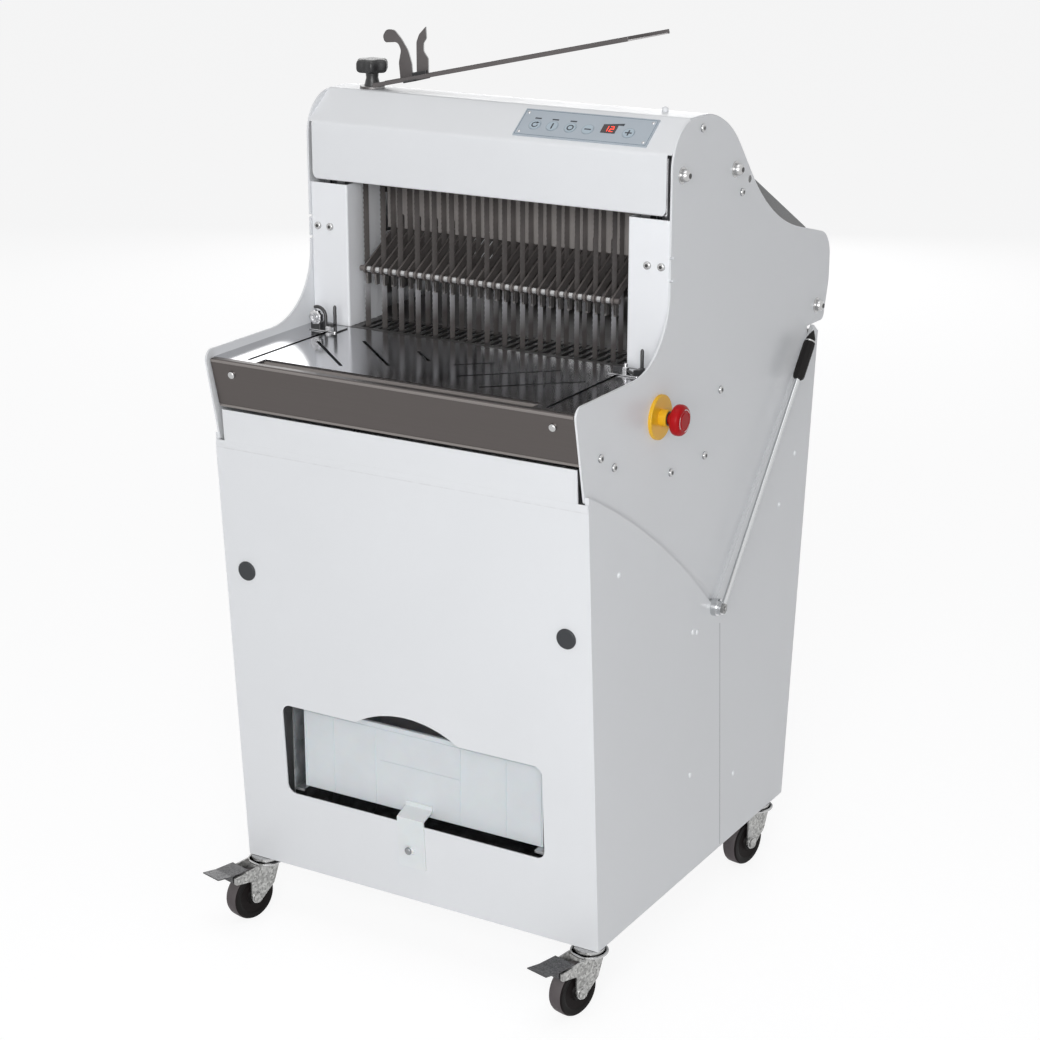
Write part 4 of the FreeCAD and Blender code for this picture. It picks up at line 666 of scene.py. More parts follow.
def addPiece(name, bm, finish, body, bevel=0.0, smoothAngle=35.0):
    bmesh.ops.recalc_face_normals(bm, faces=bm.faces)
    mesh = bpy.data.meshes.new(name)
    bm.to_mesh(mesh)
    bm.free()
    mesh.materials.append(finishes[finish])
    piece = bpy.data.objects.new(name, mesh)
    bpy.context.collection.objects.link(piece)
    if bevel > 0:
        roundEdges(piece, bevel * mm)
    mesh.shade_smooth()
    mesh.set_sharp_from_angle(angle=math.radians(smoothAngle))
    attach(piece, body)
    return piece


def boxMm(node):
    low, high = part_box(node)
    return [c / mm for c in low], [c / mm for c in high]


def middleMm(node):
    low, high = boxMm(node)
    return [(a + b) / 2 for a, b in zip(low, high)]


joints = {joint["name"]: joint for joint in frame["joints"]}


def anchorMm(jointName):
    return [c / mm for c in joints[jointName]["pos_m"]]


# an outline drawn in (y, z) and drawn out along x
acrossX = Matrix(((0, 0, 1, 0), (1, 0, 0, 0), (0, 1, 0, 0), (0, 0, 0, 1)))


# cabinet trim

# places on the side panels are (y, z)
baseRivets = {"radius": 4.2, "rise": 1.9,
              "places": [(-274, 634), (-47, 477), (-34, 473), (-45, 253), (103, 198), (289, 657), (237, 589)]}
panelSeam = {"top": (41, 462), "foot": (63, 96), "width": 1.4, "rise": 0.12}
hoodStud = {"x": 234, "y": -37, "radius": 4.5, "rise": 7.0, "cap": 3.0}


def makeCabinetTrim():
    face = boxMm("base_side_right")[1][0]
    rivets = bmesh.new()
    seams = bmesh.new()
    (y0, z0), (y1, z1) = panelSeam["top"], panelSeam["foot"]
    half = panelSeam["width"] / 2
    outline = [(y0 - half, z0), (y0 + half, z0), (y1 + half, z1), (y1 - half, z1)]
    for side, towards in ((1, "right"), (-1, "left")):
        for y, z in baseRivets["places"]:
            addTurned(rivets, roundTop(baseRivets["radius"], baseRivets["rise"]),
                      place(side * face, y, z, towards), 20)
        outside = sorted((side * face, side * (face + panelSeam["rise"])))
        addPlate(seams, outline, *outside, acrossX)
    addPiece("sideRivets", rivets, "powderWhitePaintedLight", "cabinet")
    addPiece("sidePanelSeams", seams, "seamGrey", "cabinet")
    stud = bmesh.new()
    radius, neck = hoodStud["radius"], hoodStud["rise"] - hoodStud["cap"]
    addTurned(stud, [(radius, 0)] + roundTop(radius, hoodStud["cap"], 5, neck),
              place(hoodStud["x"], hoodStud["y"], boxMm("top_hood")[1][2]), 24)
    addPiece("hoodStud", stud, "powderWhite", "cabinet")


# behind the lever's pivot the upward-facing faces of the side panels' top edge take a darker copy of the
# paint: painted shade on that edge
seamEdge = {"upward": 0.3, "sideways": 0.5}


def shadeSeamTop():
    _, y, _ = anchorMm("lever_swing")
    for name in ("base_side_left", "base_side_right"):
        node = nodes[name]
        node.data.materials.append(finishes["seamTopPaintedShade"])
        for face in node.data.polygons:
            middle = node.matrix_world @ face.center
            upward, sideways = face.normal.z, abs(face.normal.x)
            if upward > seamEdge["upward"] and sideways < seamEdge["sideways"] and middle.y > y * mm:
                face.material_index = 1


# the lip's face leans from its foot out to its top, and both of its edges are hemmed
lip = {"foot": -361.0, "top": -379.0, "hem": 4.5, "hemFoot": 0.2, "hemTop": 0.6, "hemSlope": 0.3,
       "proud": 0.5, "inset": 0.5,
       "slotHalf": 220.0, "slotFront": -364.0, "slotBack": -343.5, "slotTop": 873.4, "slotDrop": 5.0,
       "slotSheet": 1.0}


def lipFaceY(z):
    low, high = boxMm("front_lip")
    return lip["foot"] + (lip["top"] - lip["foot"]) * (z - low[2]) / (high[2] - low[2])


def makeFrontLip():
    low, high = boxMm("front_lip")
    x0, x1 = low[0] + lip["inset"], high[0] - lip["inset"]
    hem, proud, slope = lip["hem"], lip["proud"], lip["hemSlope"]
    hems = bmesh.new()
    for z0, z1 in ((low[2] + lip["hemFoot"], low[2] + hem), (high[2] - hem, high[2] - lip["hemTop"])):
        outline = [(lipFaceY(z0), z0), (lipFaceY(z1), z1), (lipFaceY(z1) - proud, z1 - slope),
                   (lipFaceY(z0) - proud, z0 + slope)]
        addPlate(hems, outline, x0, x1, acrossX)
    addPiece("lipHems", hems, "lipHem", "cabinet")
    # steel apron that shows through the crumb slot
    apron = bmesh.new()
    top, drop, sheet = lip["slotTop"], lip["slotDrop"], lip["slotSheet"]
    outline = [(lip["slotFront"], top - drop), (lip["slotBack"], top), (lip["slotBack"], top - sheet),
               (lip["slotFront"], top - drop - sheet)]
    addPlate(apron, outline, -lip["slotHalf"], lip["slotHalf"], acrossX)
    addPiece("crumbSlotApron", apron, "apronSteel", "cabinet")


# soft bead where the front panel bends up to the strip between the side plates
crease = {"y": -359.0, "z": 748.0, "half": 6.0, "proud": 0.55, "sunk": 0.4, "inset": 1.0, "steps": 8,
          "slopeUp": -0.062, "slopeDown": -0.061}


def makePanelCrease():
    low, high = boxMm("front_panel")
    bead = bmesh.new()
    outline = []
    for i in range(crease["steps"] + 1):
        share = 2 * i / crease["steps"] - 1
        z = crease["z"] + share * crease["half"]
        slope = crease["slopeUp"] if share > 0 else crease["slopeDown"]
        swell = crease["proud"] * math.cos(math.pi / 2 * share) ** 2
        outline.append((crease["y"] + slope * (z - crease["z"]) - swell, z))
    back = crease["y"] + crease["sunk"]
    outline += [(back, crease["z"] + crease["half"]), (back, crease["z"] - crease["half"])]
    addPlate(bead, outline, low[0] + crease["inset"], high[0] - crease["inset"], acrossX)
    addPiece("frontPanelCrease", bead, "powderWhite", "cabinet", 0, 60)


# bolt places on the side plates are (y, z)
boltSockets = {"radius": 2.6, "proud": 0.05, "sunk": 0.2,
               "plate": [(-44, 1195), (85, 1088.5), (33, 816), (-13.5, 731), (-117.5, 733.5), (-318.5, 806),
                         (-281.5, 784)],
               "domeHigh": 3.6, "nuts": [(-100.5, 1140), (62, 1124), (361.5, 872)], "nutHigh": 12.0,
               "nutBore": 3.6,
               "pillarX": (258, 279), "pillarZ": 1020, "pillarFace": -130.5}
boltDome = [(5.7, 0), (5.6, 1.4), (5.2, 2.4), (4.4, 3.1), (3.2, 3.55), (2.7, 3.6), (2.5, 3.3), (0.02, 3.3)]
nutWasher = [(11.5, 0), (11.5, 1.0), (11.0, 1.4), (8.2, 1.4)]


# dark hexagon discs on the domes and pillar bolts and dark discs in the nut bores stand for the hollows:
# painted shade
def makeBoltSockets():
    sockets = bmesh.new()
    washers = bmesh.new()
    domes = bmesh.new()
    plateFace = boxMm("side_plate_right")[1][0]
    hole = hexagon(boltSockets["radius"])
    sunk, proud = -boltSockets["sunk"], boltSockets["proud"]
    bore = [(boltSockets["nutBore"], sunk), (boltSockets["nutBore"], proud)]
    domeTop, nutTop = plateFace + boltSockets["domeHigh"], plateFace + boltSockets["nutHigh"]
    for side, towards in ((1, "right"), (-1, "left")):
        for y, z in boltSockets["plate"]:
            addPlate(sockets, hole, sunk, proud, place(side * domeTop, y, z, towards))
            addTurned(domes, boltDome, place(side * plateFace, y, z, towards), 32)
        for y, z in boltSockets["nuts"]:
            addTurned(sockets, bore, place(side * nutTop, y, z, towards), 20)
            addTurned(washers, nutWasher, place(side * plateFace, y, z, towards), 36)
        for x in boltSockets["pillarX"]:
            addPlate(sockets, hole, sunk, proud,
                     place(side * x, boltSockets["pillarFace"], boltSockets["pillarZ"], "front"))
    addPiece("boltSockets", sockets, "socketPaintedShade", "cabinet")
    addPiece("boltDomes", domes, "domeChrome", "cabinet")
    addPiece("boltWashers", washers, "brightZinc", "cabinet")


# blades with scalloped cutting edges

bladeTeeth = {"pitch": 7.0, "depth": 1.5, "thick": 0.8, "perTooth": 4, "spacing": 29.0, "ground": 2.4,
              "setBack": 0.1, "inset": 0.5}


def makeBlades(node, body):
    low, high = boxMm(node)
    bm = bmesh.new()
    half = bladeTeeth["thick"] / 2
    count = int(round((high[0] - low[0]) / bladeTeeth["spacing"])) + 1
    steps = int((high[2] - low[2]) / bladeTeeth["pitch"]) * bladeTeeth["perTooth"]
    for i in range(count):
        x = low[0] + bladeTeeth["inset"] + i * bladeTeeth["spacing"]
        rings = []
        for k in range(steps + 1):
            z = low[2] + (high[2] - low[2]) * k / steps
            wave = abs(math.sin(math.pi * k / bladeTeeth["perTooth"]))
            front = low[1] + bladeTeeth["setBack"] + bladeTeeth["depth"] * wave
            flank = front + bladeTeeth["ground"]
            rings.append([(x - half, high[1], z), (x - half, flank, z), (x, front, z), (x + half, flank, z),
                          (x + half, high[1], z)])
        addFaces(bm, rings, Matrix())
    piece = addPiece(node + "_toothed", bm, "bladeSteel", body, 0, 25)
    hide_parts(node)


# hold-down comb: bright spacers along its rod

holdRod = {"y": -118.0, "z": 963.3, "pitch": 14.5, "spacers": 28, "radius": 5.0, "length": 6.4,
           "bore": 4.05, "chamfer": 0.5}
fingerTip = {"low": 940.5, "high": 956.5, "front": -116.0, "back": -107.0, "wide": 3.4}


def makeHoldDownTrim():
    spacers = bmesh.new()
    half, r, chamfer = holdRod["length"] / 2, holdRod["radius"], holdRod["chamfer"]
    profile = mirrored([(holdRod["bore"], 0), (r - chamfer, 0), (r, chamfer)], half)
    first = -holdRod["pitch"] * (holdRod["spacers"] - 1) / 2
    for i in range(holdRod["spacers"]):
        x = first + i * holdRod["pitch"]
        addTurned(spacers, profile, place(x, holdRod["y"], holdRod["z"], "right"), 20)
    addPiece("holdDownSpacers", spacers, "brightZinc", "hold_comb")
    tips = bmesh.new()
    half = fingerTip["wide"] / 2
    for i in range(holdRod["spacers"] + 1):
        x = first + (i - 0.5) * holdRod["pitch"]
        addBlock(tips, x - half, x + half, fingerTip["front"], fingerTip["back"], fingerTip["low"],
                 fingerTip["high"])
    addPiece("holdDownTips", tips, "fingerTips", "hold_comb", 0.3)


# control panel: foil border, symbols and display

panelFace = {"middle": (0, -101.0, 1190.75), "up": (0, 0.8034, 0.5954), "top": 2.0, "x0": 45.0, "x1": 250.0,
             "half": 25.0, "margin": 2.0, "line": 0.4, "ink": 0.05, "screwIn": 7.0, "screwRadius": 2.2,
             "screwRise": 0.8}
panelMarks = {"keys": (71.0, 98.0, 126.0, 153.0, 215.0), "row": -4.0, "keyTop": 2.6, "ink": 0.06,
              "label": (11.2, 13.6), "labelHalf": 5.0, "ring": (8.9, 9.4), "long": 5.0, "wide": 1.1,
              "startRing": (3.3, 5.0), "startSweep": (60, 300),
              "startArrow": [(1.0, 5.8), (5.6, 4.2), (1.6, 1.6)], "jogLong": 5.2, "stopRing": (3.4, 5.2)}
display = {"left": 174.0, "right": 194.0, "half": 6.5, "rim": 1.0, "foot": 0.02, "top": 2.7, "glow": 0.06,
           "digit": (5.6, 10.0), "digitOut": 4.2, "stroke": 0.2, "gap": (0.15, 0.1),
           "wedge": [(-3, 12.0), (29, 16.5), (29, 12.0)]}


def panelMatrix():
    up = Vector(panelFace["up"]).normalized()
    out = Vector((0, -up.z, up.y))
    middle = panelFace["middle"]
    return Matrix(((1, up.x, out.x, middle[0]), (0, up.y, out.y, middle[1]),
                   (0, up.z, out.z, middle[2]), (0, 0, 0, 1)))


def addRing(bm, x, v, inner, outer, low, high, matrix, start=0.0, sweep=360.0, steps=24):
    rings = []
    for i in range(steps + 1):
        angle = math.radians(start + sweep * i / steps)
        c, s = math.cos(angle), math.sin(angle)
        rings.append([(x + inner * c, v + inner * s, low), (x + outer * c, v + outer * s, low),
                      (x + outer * c, v + outer * s, high), (x + inner * c, v + inner * s, high)])
    addFaces(bm, rings, matrix)


def addDigit(bm, x, v, lit, low, high, matrix):
    width, height = display["digit"]
    w, h, t = width / 2, height / 2, width * display["stroke"]
    bars = {"a": (-w, w, h - t, h), "g": (-w, w, -t / 2, t / 2), "d": (-w, w, -h, -h + t),
            "f": (-w, -w + t, 0, h), "b": (w - t, w, 0, h), "e": (-w, -w + t, -h, 0), "c": (w - t, w, -h, 0)}
    gapX, gapV = display["gap"]
    for bar in lit:
        x0, x1, v0, v1 = bars[bar]
        addBlock(bm, x + x0 + gapX, x + x1 - gapX, v + v0 + gapV, v + v1 - gapV, low, high, matrix)


def makePanelFace():
    matrix = panelMatrix()
    x0, x1, half, low = panelFace["x0"], panelFace["x1"], panelFace["half"], panelFace["top"]
    high = low + panelFace["ink"]
    line, edge = panelFace["line"], half - panelFace["margin"]
    border = bmesh.new()
    for v in (edge, -edge):
        addBlock(border, x0 + half - edge, x1 - half + edge, v - line, v + line, low, high, matrix)
    for x in (x0 + half - edge, x1 - half + edge):
        addBlock(border, x - line, x + line, -edge, edge, low, high, matrix)
    addPiece("panelBorder", border, "borderGrey", "cabinet")
    screws = bmesh.new()
    head = roundTop(panelFace["screwRadius"], panelFace["screwRise"], 4, low)
    corner = panelFace["screwIn"]
    for x in (x0 + corner, x1 - corner):
        for v in (corner - half, half - corner):
            addTurned(screws, head, matrix @ Matrix.Translation((x, v, 0)), 20)
    addPiece("panelScrews", screws, "brightZinc", "cabinet")
    labels = bmesh.new()
    row, wide = panelMarks["row"], panelMarks["labelHalf"]
    v0, v1 = panelMarks["label"]
    for x in panelMarks["keys"][:3]:
        addBlock(labels, x - wide, x + wide, row + v0, row + v1, low, high, matrix)
    wedge = [(display["left"] + x, row + v) for x, v in display["wedge"]]
    addPlate(labels, wedge, low, high, matrix)
    addPiece("panelLabels", labels, "inkDark", "cabinet")
    rings = bmesh.new()
    for x in panelMarks["keys"]:
        addRing(rings, x, row, *panelMarks["ring"], low, high, matrix)
    addPiece("keyRings", rings, "ringGrey", "cabinet")
    glass = bmesh.new()
    rim, tall = display["rim"], display["half"] + display["rim"]
    addBlock(glass, display["left"] - rim, display["right"] + rim, -tall, tall, low + display["foot"],
             display["top"], matrix)
    addPiece("displayGlass", glass, "inkGlass", "cabinet", 0.3)
    digits = bmesh.new()
    middle, out = (display["left"] + display["right"]) / 2, display["digitOut"]
    face = display["top"]
    addDigit(digits, middle - out, 0, "bc", face, face + display["glow"], matrix)
    addDigit(digits, middle + out, 0, "abged", face, face + display["glow"], matrix)
    addPiece("displayDigits", digits, "digitGlow", "cabinet")


def makeKeyMarks():
    matrix = panelMatrix()
    low = panelMarks["keyTop"]
    high = low + panelMarks["ink"]
    row, long, wide = panelMarks["row"], panelMarks["long"], panelMarks["wide"]
    for name, x in zip(("start", "jog", "stop", "minus", "plus"), panelMarks["keys"]):
        bm = bmesh.new()
        if name == "start":
            addRing(bm, x, row, *panelMarks["startRing"], low, high, matrix, *panelMarks["startSweep"])
            addPlate(bm, [(x + u, row + v) for u, v in panelMarks["startArrow"]], low, high, matrix)
        elif name == "jog":
            tall = panelMarks["jogLong"]
            addBlock(bm, x - wide, x + wide, row - tall, row + tall, low, high, matrix)
        elif name == "stop":
            addRing(bm, x, row, *panelMarks["stopRing"], low, high, matrix)
        else:
            addBlock(bm, x - long, x + long, row - wide, row + wide, low, high, matrix)
        if name == "plus":
            addBlock(bm, x - wide, x + wide, row + wide, row + long, low, high, matrix)
            addBlock(bm, x - wide, x + wide, row - long, row - wide, low, high, matrix)
        addPiece(name + "Mark", bm, "inkDark", name + "_button")


# stop button, star knob, lever grip

# profiles are (radius, height) from the root of the button's stem
stopHead = {"head": [(7.9, 0.3), (7.9, 22.4), (13.6, 23.0), (17.6, 24.2), (20.4, 26.2), (21.5, 29.0),
                     (21.5, 33.0), (20.8, 36.0), (18.9, 38.2), (16.2, 39.4), (13.6, 39.6), (12.6, 39.1),
                     (12.0, 39.1), (11.2, 39.9), (5.0, 39.98), (0.0, 39.98)],
            "seal": [(10.0, 16.1), (10.0, 16.8), (9.4, 17.4), (8.8, 17.4), (8.6, 16.1)],
            "arrow": (14.6, 15.6, 39.2, 39.6), "arrows": 3, "sweep": 62}


def makeStopHead():
    low, _ = boxMm("estop_button")
    middle = middleMm("estop_button")
    at = place(low[0], middle[1], middle[2], "right")
    bm = bmesh.new()
    addTurned(bm, stopHead["head"], at, 64)
    head = addPiece("stopButtonHead", bm, "redPlastic", "estop")
    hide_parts("estop_button")
    skirt = bmesh.new()
    addTurned(skirt, stopHead["seal"], at, 48)
    addPiece("stopButtonSeal", skirt, "blackPlastic", "cabinet")
    arrows = bmesh.new()
    turn = 360 / stopHead["arrows"]
    for i in range(stopHead["arrows"]):
        addRing(arrows, 0, 0, *stopHead["arrow"], at, turn * i, stopHead["sweep"], 10)
    addPiece("stopButtonArrows", arrows, "tabPlastic", "estop")


# profile rows are radius, height and how far the lobes cut in; the cap's radii are shares of "radius"
starKnob = {"cap": 18.0, "radius": 24.9, "height": 20.0, "lobes": 6, "dip": 0.2, "segments": 96,
            "neckRows": [(4.9, -22.0, 0), (4.9, 0, 0), (11.8, 0.05, 0), (10.4, 5, 0), (8.8, 11, 0),
                         (9.6, 18, 0.1)],
            "capRows": [(0.82, 1.0, 0.8), (0.95, 3.0, 1), (1, 6.0, 1), (1, 14.0, 1), (0.94, 17.8, 1),
                        (0.8, 19.5, 0.9), (0.55, 20.0, 0.5), (0.3, 19.6, 0), (0.0008, 19.6, 0)]}


def makeStarKnob():
    x, y, _ = anchorMm("bag_knob_turn")
    top = boxMm("blade_knob")[1][2]
    cap, r = starKnob["cap"], starKnob["radius"]
    rows = starKnob["neckRows"] + [(r * share, cap + up, cut) for share, up, cut in starKnob["capRows"]]
    bm = bmesh.new()
    rings = []
    for radius, height, cut in rows:
        ring = []
        for i in range(starKnob["segments"]):
            angle = 2 * math.pi * i / starKnob["segments"]
            lobe = (0.5 - 0.5 * math.cos(starKnob["lobes"] * angle)) ** 0.8
            reach = radius * (1 - starKnob["dip"] * cut * lobe)
            ring.append((reach * math.cos(angle), reach * math.sin(angle), height))
        rings.append(ring)
    addFaces(bm, rings, place(x, y, top - cap - starKnob["height"]))
    knob = addPiece("starKnob", bm, "blackPlastic", "bag_knob", 0, 50)
    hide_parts("blade_knob")


leverGrip = {"lean": 39.5, "start": 373.5, "sides": 10, "radius": 9.2, "body": 61.0, "ring": 64.0,
             "tip": 82.0}
leverNut = {"face": 315.0, "radius": 8.0, "thick": 3.2, "stud": 3.4, "studEnd": 5.0}


def makeLeverGrip():
    _, y, z = anchorMm("lever_swing")
    at = (Matrix.Translation((middleMm("lever_grip")[0], y, z))
          @ Matrix.Rotation(-math.radians(leverGrip["lean"]), 4, "X")
          @ Matrix.Translation((0, 0, leverGrip["start"])))
    r, body, ring, tip = (leverGrip[key] for key in ("radius", "body", "ring", "tip"))
    bm = bmesh.new()
    addTurned(bm, [(4.0, 0.0), (r - 3.0, 0.05), (r - 0.9, 2.2), (r, 6.0), (r, body - 5.0), (r - 0.6, body)],
              at, leverGrip["sides"])
    addTurned(bm, [(r - 2.2, body - 0.5), (r - 1.8, ring), (r - 2.6, ring + 5.0), (r - 5.0, ring + 11.0),
                   (1.2, tip - 1.0), (0.3, tip)], at, 28)
    grip = addPiece("leverGripCap", bm, "gripPlastic", "lever", 0.5, 24)
    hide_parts("lever_grip")
    collar = bmesh.new()
    profile = [(r - 1.9, body), (r - 0.5, body + 0.3), (r - 0.5, ring - 0.6), (r - 1.9, ring)]
    addTurned(collar, profile, at, 36)
    addPiece("leverGripCollar", collar, "brightZinc", "lever")


def makeLeverNut():
    _, y, z = anchorMm("lever_swing")
    at = place(leverNut["face"], y, z, "right")
    bm = bmesh.new()
    addPlate(bm, hexagon(leverNut["radius"]), 0, leverNut["thick"], at)
    addTurned(bm, [(leverNut["stud"], leverNut["thick"]), (leverNut["stud"], leverNut["studEnd"] - 0.5),
                   (leverNut["stud"] - 0.6, leverNut["studEnd"]), (0.02, leverNut["studEnd"])], at, 20)
    addPiece("leverNut", bm, "nutZinc", "lever", 0.4)


# bagging arm: dark clamp that holds the prong

bagClamp = {"slope": 12.4, "half": 17.0, "along": (64.0, 88.0), "foot": 5.0, "top": 10.5, "deep": 6.0,
            "under": (-1.6, -0.2), "step": 2.0, "rim": 1.6, "gap": 0.3}


def makeBagClamp():
    x, y, _ = anchorMm("bag_arm_swivel")
    root = boxMm("bag_blade")[0][2]
    at = place(x, y, root) @ Matrix.Rotation(-math.radians(bagClamp["slope"]), 4, "Y")
    x0, x1 = bagClamp["along"]
    u0, u1 = x0 + bagClamp["step"], x1 + bagClamp["step"]
    low, high = bagClamp["under"]
    half, gap = bagClamp["half"], bagClamp["gap"]
    bm = bmesh.new()
    addBlock(bm, x0, x1, half - bagClamp["deep"], half + gap, bagClamp["foot"], bagClamp["top"], at)
    addBlock(bm, x0, x1, half, half + 3 * gap, low, bagClamp["foot"], at)
    addBlock(bm, u0, u1, -half - 3 * gap, half, low, high, at)
    addBlock(bm, u0, u1, -half - 3 * gap, -half, low, bagClamp["rim"], at)
    addPiece("bagClamp", bm, "blackenedSteel", "bag_arm", 0.3)


# crumb drawer

drawerFront = {"ribs": (-150, -77, 67, 142), "ribWide": 1.6, "proud": 0.9, "sunk": 0.3, "ribFoot": 3.0,
               "bar": (-70, 66, 292), "rim": 4.0, "rimProud": 1.6, "rimTop": 0.2, "inset": 1.0, "lip": 341.0,
               "corner": 3.0}
tabScrew = {"x": -6.0, "z": 174.5, "radius": 4.6, "collar": 1.2, "collarHigh": 0.5, "foot": 0.6, "rise": 2.4,
            "slot": 0.7, "slotLong": 0.7}


def makeDrawerFace():
    low, high = boxMm("crumb_drawer")
    face, foot = low[1], low[2] + drawerFront["ribFoot"]
    left, right = low[0] + drawerFront["inset"], high[0] - drawerFront["inset"]
    bm = bmesh.new()
    front, back = face - drawerFront["proud"], face + drawerFront["sunk"]
    half = drawerFront["ribWide"] / 2
    for x in drawerFront["ribs"]:
        addBlock(bm, x - half, x + half, front, back, foot, drawerFront["lip"])
    x0, x1, z = drawerFront["bar"]
    addBlock(bm, x0, x1, front, back, z - half, z + half)
    addBlock(bm, left, right, face - drawerFront["rimProud"], back, high[2] - drawerFront["rim"],
             high[2] - drawerFront["rimTop"])
    addBlock(bm, left, right, front, back, drawerFront["lip"] - half, drawerFront["lip"] + half)
    for side in (-1, 1):
        x = side * (high[0] - drawerFront["corner"])
        addBlock(bm, x - half, x + half, front, back, foot, drawerFront["lip"])
    addPiece("drawerRibs", bm, "milkyPlastic", "drawer", 0.5)
    screw = bmesh.new()
    radius, rise, foot = tabScrew["radius"], tabScrew["rise"], tabScrew["foot"]
    collar, slot, long = radius + tabScrew["collar"], tabScrew["slot"] / 2, radius * tabScrew["slotLong"]
    at = place(tabScrew["x"], boxMm("drawer_tab")[0][1], tabScrew["z"], "front")
    profile = [(collar, 0), (collar, tabScrew["collarHigh"]), (radius, foot)]
    addTurned(screw, profile + roundTop(radius, rise - foot, 5, foot), at, 28)
    addBlock(screw, -long, long, -slot, slot, rise - 0.5, rise + 0.1, at)
    addPiece("tabScrew", screw, "screwSteel", "drawer")


# loaf stops

# heights are above the table, places are in from the shoe's left end and front
loafStop = {"high": 36.0, "plate": 1.6, "corner": 4.0, "stem": (2.5, 11.0), "stemDeep": 2.6,
            "foot": [(12, -7.2), (12, -2.7), (3, -2.7)], "pinBack": 17.0,
            "pin": [(2.5, 0.5), (2.5, 33.0), (1.4, 35.6), (0.4, 36.0)]}
leftStop = {"pinAt": 36.0, "block": (17, 15), "blockRound": 2, "blockAt": (9.5, 12), "blockTop": 11,
            "arms": [(23, 38, 9, 16, 5, 10), (23, 27, 9, 16, 1.6, 6)], "archMiddle": (12, 19),
            "archReach": (13.5, 14), "archBack": 9, "archFoot": (25.5, 9, 1.6), "wire": 2.5,
            "knobAt": (11, 5.5, 18.5), "scallops": 9, "dip": 0.07,
            "knob": [(3.0, -4.5), (9.6, -4.5), (10.8, -3.2), (10.8, 3.2), (9.6, 4.5), (6.0, 4.7), (4.6, 2.6),
                     (2.6, 2.6), (2.2, 5.2), (0.02, 5.4)],
            "nut": [(4.6, 1.6), (4.6, 6.0), (3.4, 7.2)], "nutAt": (31, 7, 0),
            "boss": [(4.8, 1.6), (4.8, 6.6), (3.2, 7.8)], "bossAt": (18, 26, 0)}
rightStop = {"pinAt": 45.0, "wedge": [(41, 17), (48, 20), (48, 8), (40, 1)], "wedgeTop": 9.5,
             "arm": (3, 13, 13, 21, 1.6, 8), "wire": 2.2,
             "wirePath": [(26, 14, 4), (32, 8, 4.5), (41, 2.6, 4)],
             "nut": [(5.4, 1.6), (5.4, 7.6), (4.0, 9.0)], "stud": [(3.0, 7.6), (3.0, 13.0), (2.4, 13.6)],
             "nutAt": (21, 16, 0)}


def fromCorner(corner, spot=(0, 0, 0), towards="up"):
    return place(*(corner + Vector(spot)), towards)


def startLoafStop(black, grey, node, pinAt):
    low, high = boxMm(node)
    table = high[2] - loafStop["high"]
    x, y = (low[0] + high[0]) / 2, (low[1] + high[1]) / 2
    halfX, halfY = loafStop["stem"]
    shoe = softBox(high[0] - low[0], high[1] - low[1], loafStop["corner"])
    addPlate(grey, shoe, 0, loafStop["plate"], place(x, y, table))
    addBlock(black, x - halfX, x + halfX, y - halfY, y + halfY, table - loafStop["stemDeep"], table)
    addTurned(black, loafStop["foot"], place(x, y, table), 32)
    corner = Vector((low[0], low[1], table))
    addTurned(black, loafStop["pin"], fromCorner(corner, (pinAt, loafStop["pinBack"], 0)), 16)
    return corner


def makeLeftStop():
    black, grey = bmesh.new(), bmesh.new()
    corner = startLoafStop(black, grey, "loaf_stop_left", leftStop["pinAt"])
    block = softBox(*leftStop["block"], leftStop["blockRound"])
    blockSpot = fromCorner(corner, (*leftStop["blockAt"], 0))
    addPlate(black, block, loafStop["plate"], leftStop["blockTop"], blockSpot)
    for arm in leftStop["arms"]:
        addBlock(black, *arm, fromCorner(corner))
    (x, z), (reachX, reachZ) = leftStop["archMiddle"], leftStop["archReach"]
    arch = []
    for degrees in range(115, -1, -15):
        angle = math.radians(degrees)
        arch.append((x + reachX * math.cos(angle), leftStop["archBack"], z + reachZ * math.sin(angle)))
    addTube(black, [corner + Vector(p) for p in arch + [leftStop["archFoot"]]], leftStop["wire"])
    stop = addPiece("loafStopLeft", black, "blackenedSteel", "stop_left", 0.4)
    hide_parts("loaf_stop_left")
    addTurned(grey, leftStop["knob"], fromCorner(corner, leftStop["knobAt"], "front"), 72,
              lambda angle: 1 - leftStop["dip"] * (0.5 + 0.5 * math.cos(leftStop["scallops"] * angle)))
    addTurned(grey, leftStop["nut"], fromCorner(corner, leftStop["nutAt"]), 6)
    addTurned(grey, leftStop["boss"], fromCorner(corner, leftStop["bossAt"]), 20)
    addPiece("loafStopKnob", grey, "groundSteel", "stop_left", 0.3)


def makeRightStop():
    black, grey = bmesh.new(), bmesh.new()
    corner = startLoafStop(black, grey, "loaf_stop_right", rightStop["pinAt"])
    addPlate(black, rightStop["wedge"], loafStop["plate"], rightStop["wedgeTop"], fromCorner(corner))
    addBlock(black, *rightStop["arm"], fromCorner(corner))
    addTube(black, [corner + Vector(p) for p in rightStop["wirePath"]], rightStop["wire"])
    stop = addPiece("loafStopRight", black, "blackenedSteel", "stop_right", 0.4)
    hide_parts("loaf_stop_right")
    addTurned(grey, rightStop["nut"], fromCorner(corner, rightStop["nutAt"]), 6)
    addTurned(grey, rightStop["stud"], fromCorner(corner, rightStop["nutAt"]), 20)
    addPiece("loafStopNut", grey, "groundSteel", "stop_right", 0.3)


# casters

casterNames = {"FrontLeft": "front_left", "FrontRight": "front_right", "RearLeft": "rear_left",
               "RearRight": "rear_right"}
wheelShape = {"trail": 34.0, "radius": 37.5, "rim": 27.0, "half": 12.5, "bore": 5.3, "hubFace": 14.5}
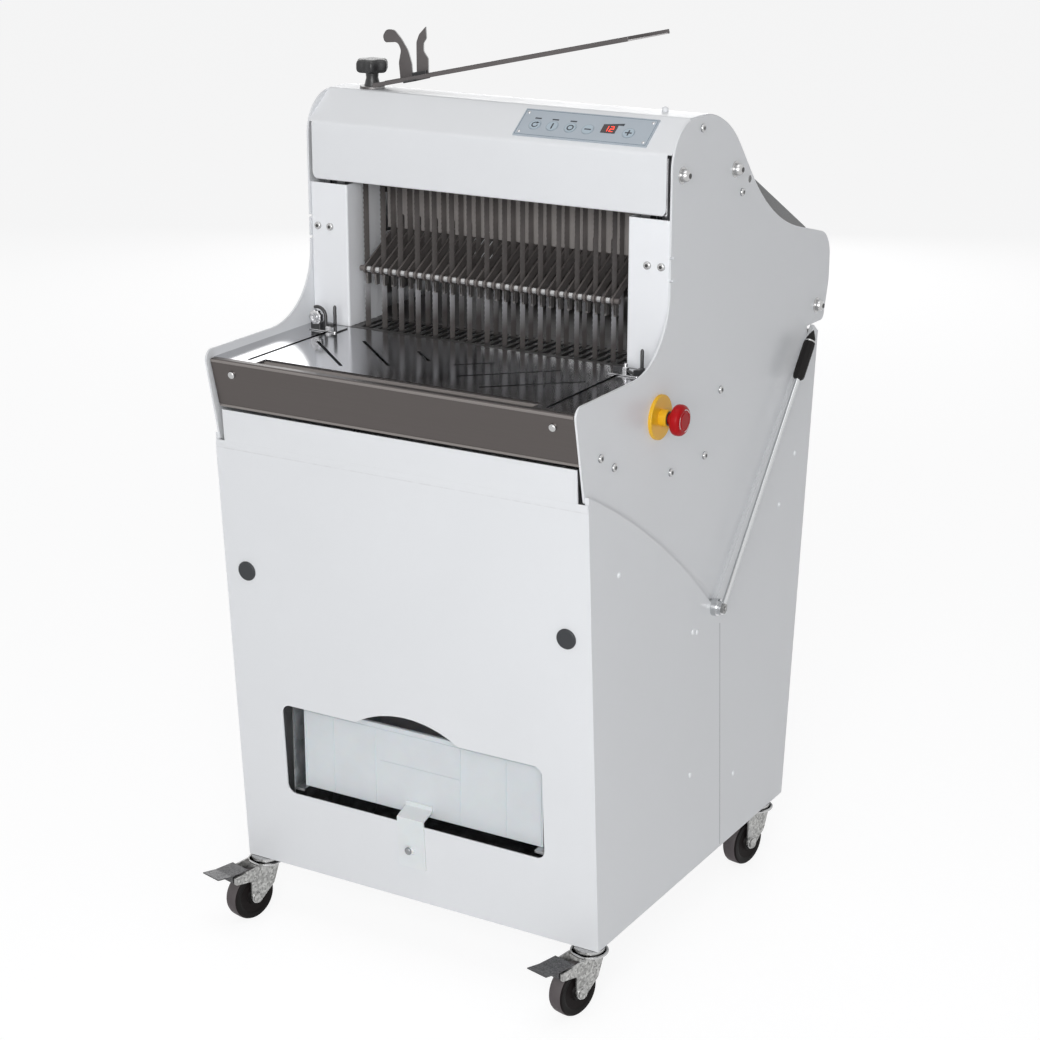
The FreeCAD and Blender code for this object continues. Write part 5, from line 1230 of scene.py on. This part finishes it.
# profiles are (radius, height): on the axle from the wheel's middle, on the swivel from the floor
forkTrim = {"nut": 7.2, "nutSpan": (17.6, 21.4),
            "washer": [(9.4, 17.5), (9.4, 18.6), (8.8, 19.0), (3.0, 19.0)],
            "race": [(26.5, 83.0), (27.2, 84.0), (27.2, 85.4), (25.4, 86.2), (21.0, 86.2), (21.0, 83.0)],
            "seat": [(15.0, 80.4), (17.5, 81.9), (6.2, 81.9), (6.2, 80.4)]}


def casterMatrix(name):
    x, y, _ = anchorMm("swivel_" + name)
    axle = joints["roll_" + name]["axis"]
    return place(x, y, 0) @ Matrix.Rotation(math.atan2(-axle[0], axle[1]), 4, "Z")


def makeCaster(spot, name):
    turn = casterMatrix(name)
    r, rim, half = wheelShape["radius"], wheelShape["rim"], wheelShape["half"]
    axle = turn @ Matrix.Translation((wheelShape["trail"], 0, r)) @ Matrix.Rotation(-math.pi / 2, 4, "X")
    sides = (axle, axle @ Matrix.Rotation(math.pi, 4, "X"))
    tyre = bmesh.new()
    side = [(rim, 1.2), (rim + 2.5, 0.4), (r - 3.2, 0.3), (r - 1.2, 2.0), (r - 1.6, 3.6)]
    addTurned(tyre, mirrored(side, half), axle, 72)
    wheel = addPiece("tyre" + spot, tyre, "wheelBlack", "rolling_" + name, 0, 30)
    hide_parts("wheel_" + name)
    tread = bmesh.new()
    side = [(r - 2.2, 2.2), (r - 1.1, 2.3), (r - 0.3, 4.2), (r, 8.9)]
    addTurned(tread, mirrored(side, half), axle, 72)
    addPiece("tread" + spot, tread, "treadRubber", "rolling_" + name, 0, 30)
    hub = bmesh.new()
    bore, face = wheelShape["bore"], wheelShape["hubFace"]
    profile = [(r - 2.4, 0), (r - 2.4, half - 1.2), (r - 3.4, half), (r - 8.0, half), (rim - 0.5, half - 0.8),
               (rim - 1.8, half - 1.6), (rim - 3.4, half - 3.6), (16, half - 5.0), (13.5, half - 1.4),
               (12.0, face - 0.2), (8.6, face), (bore, face), (bore, 0)]
    for flip in sides:
        addTurned(hub, profile, flip, 64)
    addPiece("rim" + spot, hub, "wheelCore", "rolling_" + name, 0, 30)
    trim = bmesh.new()
    for flip in sides:
        addPlate(trim, hexagon(forkTrim["nut"]), *forkTrim["nutSpan"], flip)
        addTurned(trim, forkTrim["washer"], flip, 32)
    addTurned(trim, forkTrim["race"], turn, 64)
    addTurned(trim, forkTrim["seat"], turn, 40)
    addPiece("forkTrim" + spot, trim, "brightZinc", "caster_" + name, 0.25)


makeCabinetTrim()
shadeSeamTop()
makeFrontLip()
makePanelCrease()
makeBoltSockets()
makeBlades("front_blades", "front_saw")
makeBlades("rear_blades", "rear_saw")
makeHoldDownTrim()
makePanelFace()
makeKeyMarks()
print("cabinet trim, blades and control panel made")
makeStopHead()
makeStarKnob()
makeLeverGrip()
makeLeverNut()
makeBagClamp()
makeDrawerFace()
makeLeftStop()
makeRightStop()
for spot, name in casterNames.items():
    makeCaster(spot, name)
print("handles, drawer, loaf stops and casters made")
